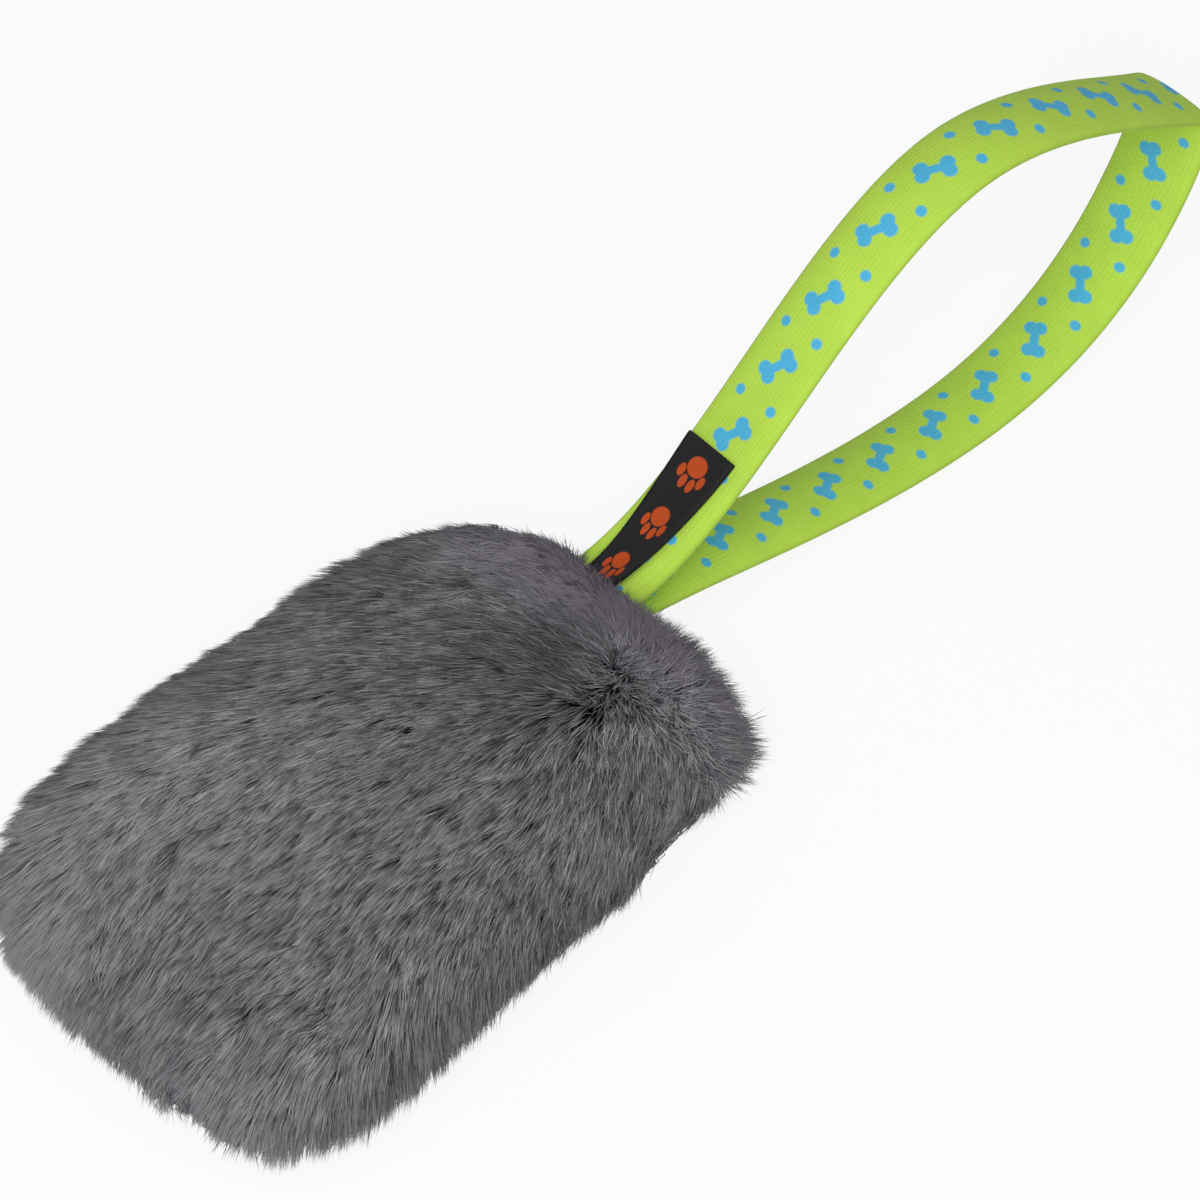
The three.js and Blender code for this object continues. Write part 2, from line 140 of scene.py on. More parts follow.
up_axis = Vector((0, 0, 1))
look_ground = Vector((math.sin(LOOK_TURN), math.cos(LOOK_TURN), 0))
look_right = Vector((math.cos(LOOK_TURN), -math.sin(LOOK_TURN), 0))
look_forward = look_ground * math.cos(LOOK_DOWN) - up_axis * math.sin(LOOK_DOWN)
look_up = look_ground * math.sin(LOOK_DOWN) + up_axis * math.cos(LOOK_DOWN)

camera = bpy.data.objects.new("camera", bpy.data.cameras.new("camera"))
camera.data.lens = CAMERA_LENS
camera.data.clip_start = 0.01
camera.location = look_right * CAMERA_ASIDE + look_up * CAMERA_ABOVE - look_forward * CAMERA_DISTANCE
camera.rotation_euler = Matrix((look_right, look_up, -look_forward)).transposed().to_euler()
bpy.context.scene.collection.objects.link(camera)
bpy.context.scene.camera = camera
print("camera at", [round(value, 3) for value in camera.location])

# %% [markdown]
# ## Floor and light
#
# The photograph is a plain studio shot on white. The floor is a large pale sheet. What the camera sees of it
# is lifted towards white, but the part that isn't lifted still takes the toy's shadow. One large soft lamp
# stands high in front: the surfaces that turn to it are the bright ones in the photograph. The white world
# fills in the rest.

# %% Floor, world and lamp
FLOOR_HALF = 3.0
FLOOR_LIFT = 0.88
WORLD_LIGHT = 0.31
LAMP_SIZE = 0.8
LAMP_POWER = 11.4
LAMP_PLACE = up_axis * 0.92 - look_ground * 0.7 - look_right * 0.04


def seen_directly(tree):
    """1 for what the camera sees straight, in a mirror or through glass, and 0 for the light on the toy."""
    path = node(tree, "ShaderNodeLightPath").outputs
    straight_or_mirror = node(tree, "ShaderNodeMath", {0: path["Is Camera Ray"], 1: path["Is Glossy Ray"]},
                              operation="MAXIMUM").outputs[0]
    return node(tree, "ShaderNodeMath", {0: straight_or_mirror, 1: path["Is Transmission Ray"]},
                operation="MAXIMUM").outputs[0]


paper, tree, shader = new_material("white_paper_floor", Base_Color=paint("#F2F2F1"), Roughness=0.9)
glow = node(tree, "ShaderNodeEmission", {"Color": (1, 1, 1, 1), "Strength": 1.0})
lift = node(tree, "ShaderNodeMath", {0: seen_directly(tree), 1: FLOOR_LIFT}, operation="MULTIPLY")
mixed = node(tree, "ShaderNodeMixShader", {0: lift.outputs[0], 1: shader.outputs[0], 2: glow.outputs[0]})
tree.links.new(mixed.outputs[0], tree.nodes["Material Output"].inputs["Surface"])

side = FLOOR_HALF / MM
floor = mesh_piece("floor", [(-side, -side, 0), (side, -side, 0), (side, side, 0), (-side, side, 0)],
                   [(0, 1, 2, 3)], paper)

world = bpy.data.worlds.new("white_studio")
world.use_nodes = True
tree = world.node_tree
tree.nodes.clear()
fill = node(tree, "ShaderNodeBackground", {"Color": (1, 1, 1, 1), "Strength": WORLD_LIGHT})
backdrop = node(tree, "ShaderNodeBackground", {"Color": (1, 1, 1, 1), "Strength": 1.0})
shown = node(tree, "ShaderNodeMixShader",
             {0: seen_directly(tree), 1: fill.outputs[0], 2: backdrop.outputs[0]})
node(tree, "ShaderNodeOutputWorld", {"Surface": shown.outputs[0]})
bpy.context.scene.world = world

lamp = bpy.data.objects.new("soft_lamp", bpy.data.lights.new("soft_lamp", "AREA"))
lamp.data.size = LAMP_SIZE
lamp.data.energy = LAMP_POWER
lamp.location = LAMP_PLACE
lamp.rotation_euler = (-LAMP_PLACE).to_track_quat("-Z", "Y").to_euler()
bpy.context.scene.collection.objects.link(lamp)
bpy.context.scene.view_settings.view_transform = "Standard"
print("floor, world and lamp ready")

# %% [markdown]
# ## The shape of the pouch
#
# The pouch is two panels sewn round their edge and stuffed: a rounded oblong in plan that swells up and down
# from the seam. A superellipse gives that shape from a few sizes, and the same formula gives the surface and
# its normals at any depth under the tips of the pile. A cloth simulation could inflate it too, but the pile
# hides the small folds that it would add.

# %% Pouch form
POUCH_LENGTH = 162
POUCH_WIDTH = 107
SEAM_HEIGHT = 31
POUCH_RISE = 31
PLAN_SQUARENESS = 4.5
TOP_ROUNDNESS = 2.25
BASE_ROUNDNESS = 3.2
MOUTH_NARROWING = 0.06
SIDE_BOW = 3.6
MOUTH_LIP = 4.0
MOUTH_HALF_WIDTH = 15
MOUTH_FROM = 0.6
STRAP_OFFSET = 12
FORM_TURNS = 240
FORM_ROWS = 48


def bow_at(x):
    """How far the middle of the stuffed pouch stands off to one side, in mm."""
    return SIDE_BOW * (1 - (x / (POUCH_LENGTH / 2)) ** 2)


def pouch_form(side, depth):
    """Points and normals of the top (side 1) or bottom (side -1) skin, depth mm under the pile's tips."""
    roundness = TOP_ROUNDNESS if side > 0 else BASE_ROUNDNESS
    turn = np.linspace(0, 2 * np.pi, FORM_TURNS, endpoint=False)
    climb = np.linspace(0, np.pi / 2, FORM_ROWS)[:, None]
    across = np.cos(climb) ** (2 / roundness)
    swell = np.sin(climb) ** (2 / roundness)
    half_length = POUCH_LENGTH / 2 - depth
    half_width = POUCH_WIDTH / 2 - depth
    x = half_length * signed_power(np.cos(turn), 2 / PLAN_SQUARENESS) * across
    narrow = 1 - MOUTH_NARROWING * x / half_length
    aside = half_width * signed_power(np.sin(turn), 2 / PLAN_SQUARENESS) * across
    y = aside * narrow + bow_at(x)
    at_mouth = np.clip((x / half_length - MOUTH_FROM) / (1 - MOUTH_FROM), 0, 1) ** 2
    lip = MOUTH_LIP * at_mouth * np.exp(-((y - STRAP_OFFSET) / MOUTH_HALF_WIDTH) ** 4) * (1 - swell)
    z = SEAM_HEIGHT + side * (lip + (POUCH_RISE - depth) * swell)
    points = np.stack([x, y, np.broadcast_to(z, x.shape)], axis=-1)
    plan = np.maximum(across, 1e-3) ** (roundness - PLAN_SQUARENESS)
    slope_x = plan * signed_power(x / half_length, PLAN_SQUARENESS - 1) / half_length
    slope_y = plan * signed_power(aside / half_width, PLAN_SQUARENESS - 1) / half_width
    slope_z = np.broadcast_to(side * swell ** (roundness - 1) / (POUCH_RISE - depth), x.shape)
    return points, unit(np.stack([slope_x, slope_y, slope_z], axis=-1))


print("pouch", POUCH_LENGTH, "x", POUCH_WIDTH, "x", SEAM_HEIGHT + POUCH_RISE, "mm")

# %% [markdown]
# ## Knitted backing
#
# Faux fur is a pile fabric: its hairs are locked into a knitted backing. The backing shows only as dark
# depth where the pile parts. Each panel here is a closed shell a few millimetres thick, so it stays a solid
# piece. The upper panel rides with the lower one, because its edge stays sewn.

# %% Backing material and panels
PILE_DEPTH = 8.0
BACKING_THICKNESS = 3.5
FLOOR_CLEARANCE = 0.3
WELD_DISTANCE = 0.001
KNIT_PITCH = 1.6
KNIT_RELIEF = 0.4

# Knitted polyester, brushed on its face: matt and dark, with fine loops between the hairs
knit, tree, shader = new_material("knitted_polyester_backing", Roughness=0.95, Specular_IOR_Level=0.2)
place = node(tree, "ShaderNodeTexCoord").outputs["Object"]
loops = node(tree, "ShaderNodeTexVoronoi", {"Vector": place, "Scale": 1 / (KNIT_PITCH * MM)})
shade = node(tree, "ShaderNodeValToRGB", {"Fac": loops.outputs["Distance"]})
shade.color_ramp.elements[0].color = paint("#4A494C")
shade.color_ramp.elements[1].color = paint("#2E2D30")
bump = node(tree, "ShaderNodeBump",
            {"Height": loops.outputs["Distance"], "Strength": 0.5, "Distance": KNIT_RELIEF * MM})
tree.links.new(shade.outputs["Color"], shader.inputs["Base Color"])
tree.links.new(bump.outputs["Normal"], shader.inputs["Normal"])


def panel_shell(name, side):
    """A closed shell: the outer skin from its rim to its crown, then the inner skin back down."""
    outer, _ = pouch_form(side, PILE_DEPTH)
    inner, _ = pouch_form(side, PILE_DEPTH + BACKING_THICKNESS)
    rows = np.concatenate([outer, inner[::-1]])
    rows[..., 2] = np.maximum(rows[..., 2], FLOOR_CLEARANCE)
    crown = FORM_ROWS - 1
    points = rows.reshape(-1, 3)
    faces = []
    for row in range(len(rows)):
        if row == crown:
            continue
        for turn in range(FORM_TURNS):
            a = row * FORM_TURNS + turn
            b = row * FORM_TURNS + (turn + 1) % FORM_TURNS
            lift_by = ((row + 1) % len(rows) - row) * FORM_TURNS
            face = (a, b, b + lift_by, a + lift_by)
            faces.append(face if side > 0 else face[::-1])
    piece = mesh_piece(name, points, faces, knit)
    welded = bmesh.new()
    welded.from_mesh(piece.data)
    bmesh.ops.remove_doubles(welded, verts=welded.verts, dist=WELD_DISTANCE * MM)
    welded.to_mesh(piece.data)
    welded.free()
    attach(piece, "pouch")
    return piece


backing_top = panel_shell("fur_backing_top", 1)
backing_bottom = panel_shell("fur_backing_bottom", -1)
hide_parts("fur_top_panel")
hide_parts("fur_bottom_panel")
print("backing panels:", len(backing_top.data.polygons), "faces each")

# %% [markdown]
# ## Pile
#
# The pile is what everyone sees and feels. Blender's hair would render well but isn't a mesh, so each strand
# is a thin three-sided spike with one bend. Strands grow from the backing and lie the way the real pile was
# brushed: away from a parting near the mouth, along the pouch and down its sides. Their tips gather into
# small tufts, and those into locks. The dark gaps between them are what makes fur read as fur.

# %% Random hills and soft spots
FUR_SEED = 7
RIPPLE_GAIN = 1.8
rng = np.random.default_rng(FUR_SEED)


def ripple(points, size, waves=7):
    """Smooth random hills of about size mm, mostly from -1 to 1, made of a few crossing sine waves."""
    ways = unit(rng.normal(size=(waves, 3))) * 2 * np.pi / size
    phases = rng.uniform(0, 2 * np.pi, waves)
    return np.sin(points @ ways.T + phases).mean(axis=1) * RIPPLE_GAIN


def near(points, place, size):
    """A soft share for each point: 1 at place, fading out over about size mm."""
    return np.exp(-(np.linalg.norm(points - np.array(place), axis=1) / size) ** 2)


def turned(flow, normals, angles):
    """flow turned about the normals by angles in radians."""
    sideways = np.cross(normals, flow)
    return np.cos(angles)[:, None] * flow + np.sin(angles)[:, None] * sideways


print("random draws start from seed", FUR_SEED)

# %% Combing direction
# The pile lies away from a short line that hangs over the mouth's end of the pouch
PARTING_ENDS = np.array([(84.0, -15.0, 58.0), (68.0, -30.0, 58.0)])
PARTING = (60, -20, 45)
PARTING_SIZE = 20
PARTING_RUFFLE = 0.6
PARTING_RUFFLE_SIZE = 14
LOOSE_SIZE = 13
LOOSE_SHARE = 0.8
RUFFLE = 0.15
RUFFLE_SIZE = 30
END_HANG = 2.0
MOUTH_HANG = 0.8
# Shares of the way to the mouth: the closed end's hang holds up to the first, the mouth's from the second
END_HANG_TO, MOUTH_HANG_FROM = 0.1, 0.7
NAP_TURN = math.radians(24)
END_TURN = 0.2
SIDE_TURN = 0.6
SIDE_TURN_WIDTH = 30
FIRM_FLOW = 0.5
TUFTED_CORNER = (63, -38, 32)
# Places brushed another way, each with its size and direction: by the parting, a corner and the closed end
BRUSHED_SPOTS = (
    ((60, -36, 46), 15, (1.5, -1.2, 0)),
    (TUFTED_CORNER, 10, (2.2, -2.0, 0.9)),
    ((-77, 2, 37), 16, (0, -0.4, 0)),
)


def comb(points, normals):
    """Directions along the skin, away from the parting and down, and how firmly each is combed, 0 to 1."""
    towards_mouth = np.clip(points[:, 0] / (POUCH_LENGTH / 2), -1, 1)
    level = np.clip(normals[:, 2], 0, 1)
    end_share = np.clip((MOUTH_HANG_FROM - towards_mouth) / (MOUTH_HANG_FROM - END_HANG_TO), 0, 1)
    start, end = PARTING_ENDS
    along = np.clip((points - start) @ (end - start) / np.sum((end - start) ** 2), 0, 1)[:, None]
    flow = unit(points - start - along * (end - start))
    flow[:, 2] -= end_share * END_HANG * (1 - level) ** 2 + (1 - end_share) * MOUTH_HANG
    for place, size, way in BRUSHED_SPOTS:
        flow += near(points, place, size)[:, None] * np.array(way)
    at_parting = PARTING_RUFFLE * near(points, PARTING, PARTING_SIZE)
    for axis in range(2):
        ruffled = RUFFLE * ripple(points, RUFFLE_SIZE)
        flow[:, axis] += ruffled + at_parting * ripple(points, PARTING_RUFFLE_SIZE)
    flow -= normals * np.sum(flow * normals, axis=1, keepdims=True)
    firmness = np.clip(np.linalg.norm(flow, axis=1) / FIRM_FLOW, 0, 1)
    firmness *= 1 - LOOSE_SHARE * near(points, PARTING, LOOSE_SIZE)
    to_far_side = np.clip(points[:, 1] / SIDE_TURN_WIDTH, -1, 1)
    turn_share = 1 - END_TURN * np.minimum(towards_mouth, 0) + SIDE_TURN * to_far_side
    return turned(unit(flow), normals, NAP_TURN * level ** 2 * turn_share), firmness


print("pile combed away from a parting", round(np.linalg.norm(PARTING_ENDS[1] - PARTING_ENDS[0])), "mm long")

# %% Gathering into locks, and the outline
GATHER_SHARES = np.array([0.0, 0.4, 1.0])


def leaders_of(roots, skin_area, size):
    """For each strand, the number of the strand that leads its lock, with locks about size mm across."""
    leaders = rng.choice(len(roots), size=int(skin_area / size ** 2), replace=False)
    tree = KDTree(len(leaders))
    for leader in leaders:
        tree.insert(roots[leader], leader)
    tree.balance()
    return np.array([tree.find(root)[1] for root in roots])


def gather(curves, leaders, pull):
    """Draws each strand towards its leader, a little at the middle and most at the tip."""
    return curves + (curves[leaders] - curves) * GATHER_SHARES[None, :, None] * pull[:, None, None]


def held_in(curves, reach):
    """Draws back what stands out of the pouch's outline by more than its strand's reach (1: the outline)."""
    reached = curves[..., 0]
    middle = np.stack([0 * reached, bow_at(reached), 0 * reached + SEAM_HEIGHT], axis=-1)
    x, y, z = np.moveaxis(np.abs(curves - middle), -1, 0)
    narrow = 1 - MOUTH_NARROWING * reached / (POUCH_LENGTH / 2)
    plan = (x / (POUCH_LENGTH / 2)) ** PLAN_SQUARENESS
    plan += (y / (POUCH_WIDTH / 2 * narrow)) ** PLAN_SQUARENESS
    roundness = np.where(curves[..., 2] > SEAM_HEIGHT, TOP_ROUNDNESS, BASE_ROUNDNESS)
    size = (plan ** (roundness / PLAN_SQUARENESS) + (z / POUCH_RISE) ** roundness) ** (1 / roundness)
    shrink = np.minimum(1, reach[:, None] / np.maximum(size, 1e-6))
    return middle + (curves - middle) * shrink[..., None]


print("strands gather at shares", GATHER_SHARES, "from root to tip")

# %% Roots of the strands
UNDERSIDE_HEIGHT = 10
UNDERSIDE_SHARE = 0.4


def scatter(side, count):
    """Roots of count strands spread over one panel's skin, the skin's normals there, and its area in mm2."""
    points, normals = pouch_form(side, PILE_DEPTH)
    corners = [points[:-1], np.roll(points, -1, axis=1)[:-1], points[1:], np.roll(points, -1, axis=1)[1:]]
    area = np.linalg.norm(np.cross(corners[1] - corners[0], corners[2] - corners[0]), axis=-1)
    chance = area * np.where(corners[0][..., 2] < UNDERSIDE_HEIGHT, UNDERSIDE_SHARE, 1.0)
    picked = rng.choice(area.size, size=count, p=(chance / chance.sum()).ravel())
    row, turn = np.unravel_index(picked, area.shape)
    u = rng.random((count, 1))
    v = rng.random((count, 1))
    quads = [corner[row, turn] for corner in corners]
    roots = (quads[0] * (1 - u) + quads[1] * u) * (1 - v) + (quads[2] * (1 - u) + quads[3] * u) * v
    return roots, unit(normals[row, turn] + 1e-6), area.sum()


print("strands thinner below", UNDERSIDE_HEIGHT, "mm, where the toy lies on them")

# %% [markdown]
# ## Uneven pile
#
# Real pile isn't even: it is fluffed up by the mouth, longer at one corner and rubbed in places. Its tone
# also carries painted shade and painted light in spots. It could be painted by hand, but a few named spots,
# each fading out over its own size, can be read and changed here.
# All the other differences from strand to strand are random draws from the fixed seed, so each run grows the
# same fur.

# %% Where strands differ
LOW_CORNER = (-62, -37, 20)
SEAM_END = (-72, -21, 31)
# Where the outline stands out or draws in: the place, its size and the share of the way from the middle
REACH_SPOTS = (
    (TUFTED_CORNER, 9, 0.18),
    (LOW_CORNER, 16, 0.05),
    (SEAM_END, 6, -0.05),
    ((49, -39, 30), 11, -0.15),
    ((64, -18, 42), 14, 0.08),
    ((66, 32, 38), 14, -0.04),
    ((-28, -46, 30), 24, 0.045),
    ((18, 46, 40), 10, -0.04),
    ((40, 42, 42), 10, 0.03),
    ((38, -44, 30), 10, 0.05),
    ((-72, -26, 18), 9, -0.05),
)
# Painted shade and painted light: spots where the pile is darker or paler for how the lamp falls on it, each
# with the place, its size and the change of tone
PAINTED_SHADE_AND_LIGHT_SPOTS = (
    ((36, 10, 50), 40, -0.27),
    ((48, -8, 48), 18, -0.24),
    ((14, -18, 50), 30, -0.08),
    ((-22, -28, 46), 30, -0.1),
    ((-48, -12, 48), 26, -0.1),
    ((60, -38, 40), 13, 0.36),
    ((70, -24, 40), 14, 0.36),
    ((72, 8, 38), 20, 0.4),
    ((-76, 26, 31), 18, 0.48),
    ((-72, -29, 25), 18, 0.48),
)
# The band of fluffy, tinged pile along the mouth: where it starts and is full, and half its width
MOUTH_BAND = (50, 64)
MOUTH_BAND_HALF = 40


def in_mouth_band(roots):
    """A share from 0 to 1 for how far each root lies in the fluffy band along the mouth."""
    start, full = MOUTH_BAND
    share = np.clip((roots[:, 0] - start) / (full - start), 0, 1)
    return share * np.exp(-(roots[:, 1] / MOUTH_BAND_HALF) ** 4)


def varied(spreads, leaders):
    """A random amount for each strand, with one spread for itself and one for its lock as a whole."""
    own, shared = spreads
    return rng.normal(0, own, len(leaders)) + rng.normal(0, shared, len(leaders))[leaders]


def spots_at(roots, spots):
    """The sum of all the spots' amounts at each root."""
    return sum(amount * near(roots, place, size) for place, size, amount in spots)


print("outline changed at", len(REACH_SPOTS), "spots, tone at", len(PAINTED_SHADE_AND_LIGHT_SPOTS))

# %% How the strands lie
SWAY_RIPPLE = 0.1
SWAY_RIPPLE_SIZE = 46
SWAY_SPREAD = (0.13, 0.09)
FLUFF_SWAY = 0.5
LOOSE_SWAY = 1.5
TOP_LIFT = math.radians(36)
SIDE_LIFT = math.radians(44)
MOUTH_LIFT = math.radians(14)
LOOSE_LIFT = math.radians(34)
FLUFF_LIFT = math.radians(20)
LIFT_SPREAD = (0.1, 0.05)
STRAP_ROOT = (74, STRAP_OFFSET, SEAM_HEIGHT)
STRAP_ROOT_SIZE = 26


def swayed(flow, roots, out, loose, in_band, locks):
    """flow turned to the sides: in waves, at random, and most where the pile is loose or fluffy."""
    sway = SWAY_RIPPLE * ripple(roots, SWAY_RIPPLE_SIZE) + varied(SWAY_SPREAD, locks[1])
    sway += FLUFF_SWAY * in_band * rng.normal(0, 1, len(roots))
    return turned(flow, out, sway + loose * rng.normal(0, LOOSE_SWAY, len(roots)))


def lift_of(roots, out, loose, in_band, locks):
    """The angle at which each strand stands off the skin, in radians."""
    lift = SIDE_LIFT + (TOP_LIFT - SIDE_LIFT) * np.clip(out[:, 2], 0, 1)
    lift *= 1 + varied(LIFT_SPREAD, locks[0])
    lift += MOUTH_LIFT * near(roots, STRAP_ROOT, STRAP_ROOT_SIZE) + LOOSE_LIFT * loose
    return lift + FLUFF_LIFT * in_band


print("strands stand off the top by about", round(math.degrees(TOP_LIFT)), "degrees")

# %% Length, reach and tone of the strands
STRAND_LENGTH = 12.5
LENGTH_SPREAD = (0.07, 0.06)
TUFT_SIZE = 9
TUFT_GROWTH = 0.5
FAR_SIDE = 50
FAR_SIDE_GROWTH = 0.25
FAR_SIDE_REACH = 0.06
REACH_SPREAD = (0.02, 0.014)
REACH_LIMITS = (0.9, 1.16)
CALM_SIDE = 70
CALM_SHARE = 0.4
MIDDLE_TONE = 0.5
TONE_SPREAD = (0.28, 0.08)
SEAM_END_SIZE = 6
SEAM_END_TINGE = 0.8
# Plain strands have tones in the first range, tinged ones in the second, and TINGE_FROM lies between them
PLAIN_TONES = (0, 0.79)
TINGE_FROM = 0.85
TINGED_TONES = (0.87, 0.96)


def length_of(roots, locks):
    """Each strand's length in mm, longer at the tufted corner and on the far side."""
    length = STRAND_LENGTH * (1 + varied(LENGTH_SPREAD, locks[1]))
    tufted = TUFT_GROWTH * near(roots, TUFTED_CORNER, TUFT_SIZE)
    return length * (1 + tufted + FAR_SIDE_GROWTH * np.clip(roots[:, 1] / FAR_SIDE, 0, 1))


def reach_of(roots, locks):
    """How far out each strand may stand, with 1 at the pouch's outline."""
    frayed = varied(REACH_SPREAD, locks[0]) * np.clip(1 - roots[:, 1] / CALM_SIDE, CALM_SHARE, 1)
    reach = 1 + FAR_SIDE_REACH * roots[:, 1] / FAR_SIDE + frayed + spots_at(roots, REACH_SPOTS)
    return np.clip(reach, *REACH_LIMITS)


def tone_of(roots, in_band, locks):
    """Each strand's tone from 0 to 1, in one range if it is plain and in another if it is tinged."""
    # The tone takes in painted shade and painted light from the spots, on top of its own random spread
    tone = np.clip(MIDDLE_TONE + varied(TONE_SPREAD, locks[1]) + spots_at(roots, PAINTED_SHADE_AND_LIGHT_SPOTS), 0, 1)
    tinged = rng.random(len(roots)) < in_band + SEAM_END_TINGE * near(roots, SEAM_END, SEAM_END_SIZE)
    return np.where(tinged, np.interp(tone, (0, 1), TINGED_TONES), np.interp(tone, (0, 1), PLAIN_TONES))


print("strands about", STRAND_LENGTH, "mm long")

# %% Grow the strands
STRAND_BEND = (1.35, 0.7)
LIFT_LIMITS = (0.05, 1.5)
LOCK_SIZES = (6.0, 2.5, 1.0)
LOCK_PULLS = (0.08, 0.34, 0.55)
PULL_SPREAD = (0.4, 1.3)
FLOOR_ROOM = (0.2, 2.5)


def grow(side, count):
    """Curves of three points for count strands on one panel, and a tone from 0 to 1 for each."""
    roots, out, skin_area = scatter(side, count)
    locks = [leaders_of(roots, skin_area, size) for size in LOCK_SIZES]
    flow, firm = comb(roots, out)
    in_band = in_mouth_band(roots)
    flow = swayed(flow, roots, out, 1 - firm, in_band, locks)
    lift = lift_of(roots, out, 1 - firm, in_band, locks)
    length = length_of(roots, locks)
    curve = [roots]
    for share in STRAND_BEND:
        angle = np.clip(lift * share, *LIFT_LIMITS)
        step = np.cos(angle)[:, None] * flow + np.sin(angle)[:, None] * out
        curve.append(curve[-1] + step * length[:, None] / len(STRAND_BEND))
    curves = np.stack(curve, axis=1)
    for leaders, pull in zip(locks, LOCK_PULLS):
        curves = gather(curves, leaders, pull * rng.uniform(*PULL_SPREAD, count))
    curves = held_in(curves, reach_of(roots, locks))
    floor_room = FLOOR_CLEARANCE + rng.uniform(*FLOOR_ROOM, count)[:, None]
    curves[..., 2] = np.maximum(curves[..., 2], floor_room)
    return curves, tone_of(roots, in_band, locks)


print("strands gather into locks about", LOCK_SIZES, "mm across")

# %% [markdown]
# ## Pile finish and meshes
#
# Less light gets out of the depth of real pile, so each strand is darker at its root. A small map on each
# strand tells the material how far up it a point lies and how dark that strand is, so one material serves
# them all. The meshes are filled from whole arrays, because adding strands one at a time would take minutes.

# %% Pile material
TONE_RANGE = (0.2, 1.8)
VIOLET_TINGE = (0.95, 0.86, 1.0)

# Acrylic pile, sheared and brushed, softly lustrous: each hair is painted dark at its root and paler at its
# tip, for the shade deep in the pile
pile, tree, shader = new_material("acrylic_faux_fur_pile", Roughness=0.62, Specular_IOR_Level=0.3)
strand_map = node(tree, "ShaderNodeUVMap", uv_map="OFBake")
tone_and_reach = node(tree, "ShaderNodeSeparateXYZ", {0: strand_map.outputs[0]})
along = node(tree, "ShaderNodeValToRGB", {"Fac": tone_and_reach.outputs["Y"]})
along.color_ramp.elements[0].color = paint("#353438")
along.color_ramp.elements[1].color = paint("#ADACAE")
middle = along.color_ramp.elements.new(0.5)
middle.color = paint("#6B6A6D")
tone = node(tree, "ShaderNodeMapRange", {"Value": tone_and_reach.outputs["X"], "From Max": TINGE_FROM,
                                         "To Min": TONE_RANGE[0], "To Max": TONE_RANGE[1]})
toned = node(tree, "ShaderNodeVectorMath", {0: along.outputs["Color"], "Scale": tone.outputs[0]},
             operation="SCALE")
tinge = node(tree, "ShaderNodeVectorMath", {0: along.outputs["Color"], 1: VIOLET_TINGE},
             operation="MULTIPLY")
is_tinged = node(tree, "ShaderNodeMath", {0: tone_and_reach.outputs["X"], 1: TINGE_FROM},
                 operation="GREATER_THAN")
coloured = node(tree, "ShaderNodeMix", {0: is_tinged.outputs[0], 6: toned.outputs[0], 7: tinge.outputs[0]},
                data_type="RGBA")
tree.links.new(coloured.outputs[2], shader.inputs["Base Color"])
print("pile material ready")

# %% Strands into meshes
TOP_STRANDS = 114000
BOTTOM_STRANDS = 57000
STRANDS_PER_PIECE = 19000
STRAND_RADII = (0.15, 0.14)
SPIKE_SIDES = 3
MAP_STEP = 0.01
SPIKE_CORNERS = len(STRAND_RADII) * SPIKE_SIDES + 1


def spike_pattern():
    """Corner numbers of one spike: a row of quads, a point and a root cap."""
    tip = SPIKE_CORNERS - 1
    sides = [(j, (j + 1) % SPIKE_SIDES) for j in range(SPIKE_SIDES)]
    quads = [(a, b, SPIKE_SIDES + b, SPIKE_SIDES + a) for a, b in sides]
    tips = [(SPIKE_SIDES + a, SPIKE_SIDES + b, tip) for a, b in sides]
    return [*quads, *tips, tuple(reversed(range(SPIKE_SIDES)))]


def strand_mesh(name, curves, tone):
    """One mesh of spikes; its map holds each strand's tone across and the reach from root to tip upwards."""
    count = len(curves)
    chord = unit(curves[:, -1] - curves[:, 0])
    first = unit(np.cross(chord, rng.normal(size=(count, 3))))
    second = np.cross(chord, first)
    corners = np.empty((count, SPIKE_CORNERS, 3))
    spread = np.empty((count, SPIKE_CORNERS, 2))
    for row, radius in enumerate(STRAND_RADII):
        for j in range(SPIKE_SIDES):
            angle = 2 * np.pi * j / SPIKE_SIDES
            spoke = math.cos(angle) * first + math.sin(angle) * second
            corner = row * SPIKE_SIDES + j
            corners[:, corner] = curves[:, row] + radius * spoke
            spread[:, corner, 0] = tone + MAP_STEP * j
            spread[:, corner, 1] = row / len(STRAND_RADII)
    corners[:, -1] = curves[:, -1]
    spread[:, -1, 0] = tone + MAP_STEP
    spread[:, -1, 1] = 1
    pattern = spike_pattern()
    flat = np.array([corner for face in pattern for corner in face])
    sizes = np.array([len(face) for face in pattern])
    starts = np.concatenate([[0], np.cumsum(sizes)[:-1]])
    corner_numbers = (flat[None] + SPIKE_CORNERS * np.arange(count)[:, None]).ravel()
    face_starts = (starts[None] + len(flat) * np.arange(count)[:, None]).ravel()
    mesh = bpy.data.meshes.new(name)
    mesh.vertices.add(count * SPIKE_CORNERS)
    mesh.loops.add(len(corner_numbers))
    mesh.polygons.add(len(face_starts))
    mesh.vertices.foreach_set("co", (corners * MM).ravel())
    mesh.polygons.foreach_set("loop_start", face_starts)
    mesh.loops.foreach_set("vertex_index", corner_numbers)
    mesh.uv_layers.new(name="OFBake").uv.foreach_set("vector", spread.reshape(-1, 2)[corner_numbers].ravel())
    mesh.update(calc_edges=True)
    mesh.materials.append(pile)
    mesh.shade_smooth()
    piece = bpy.data.objects.new(name, mesh)
    bpy.context.scene.collection.objects.link(piece)
    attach(piece, "pouch")
    return piece


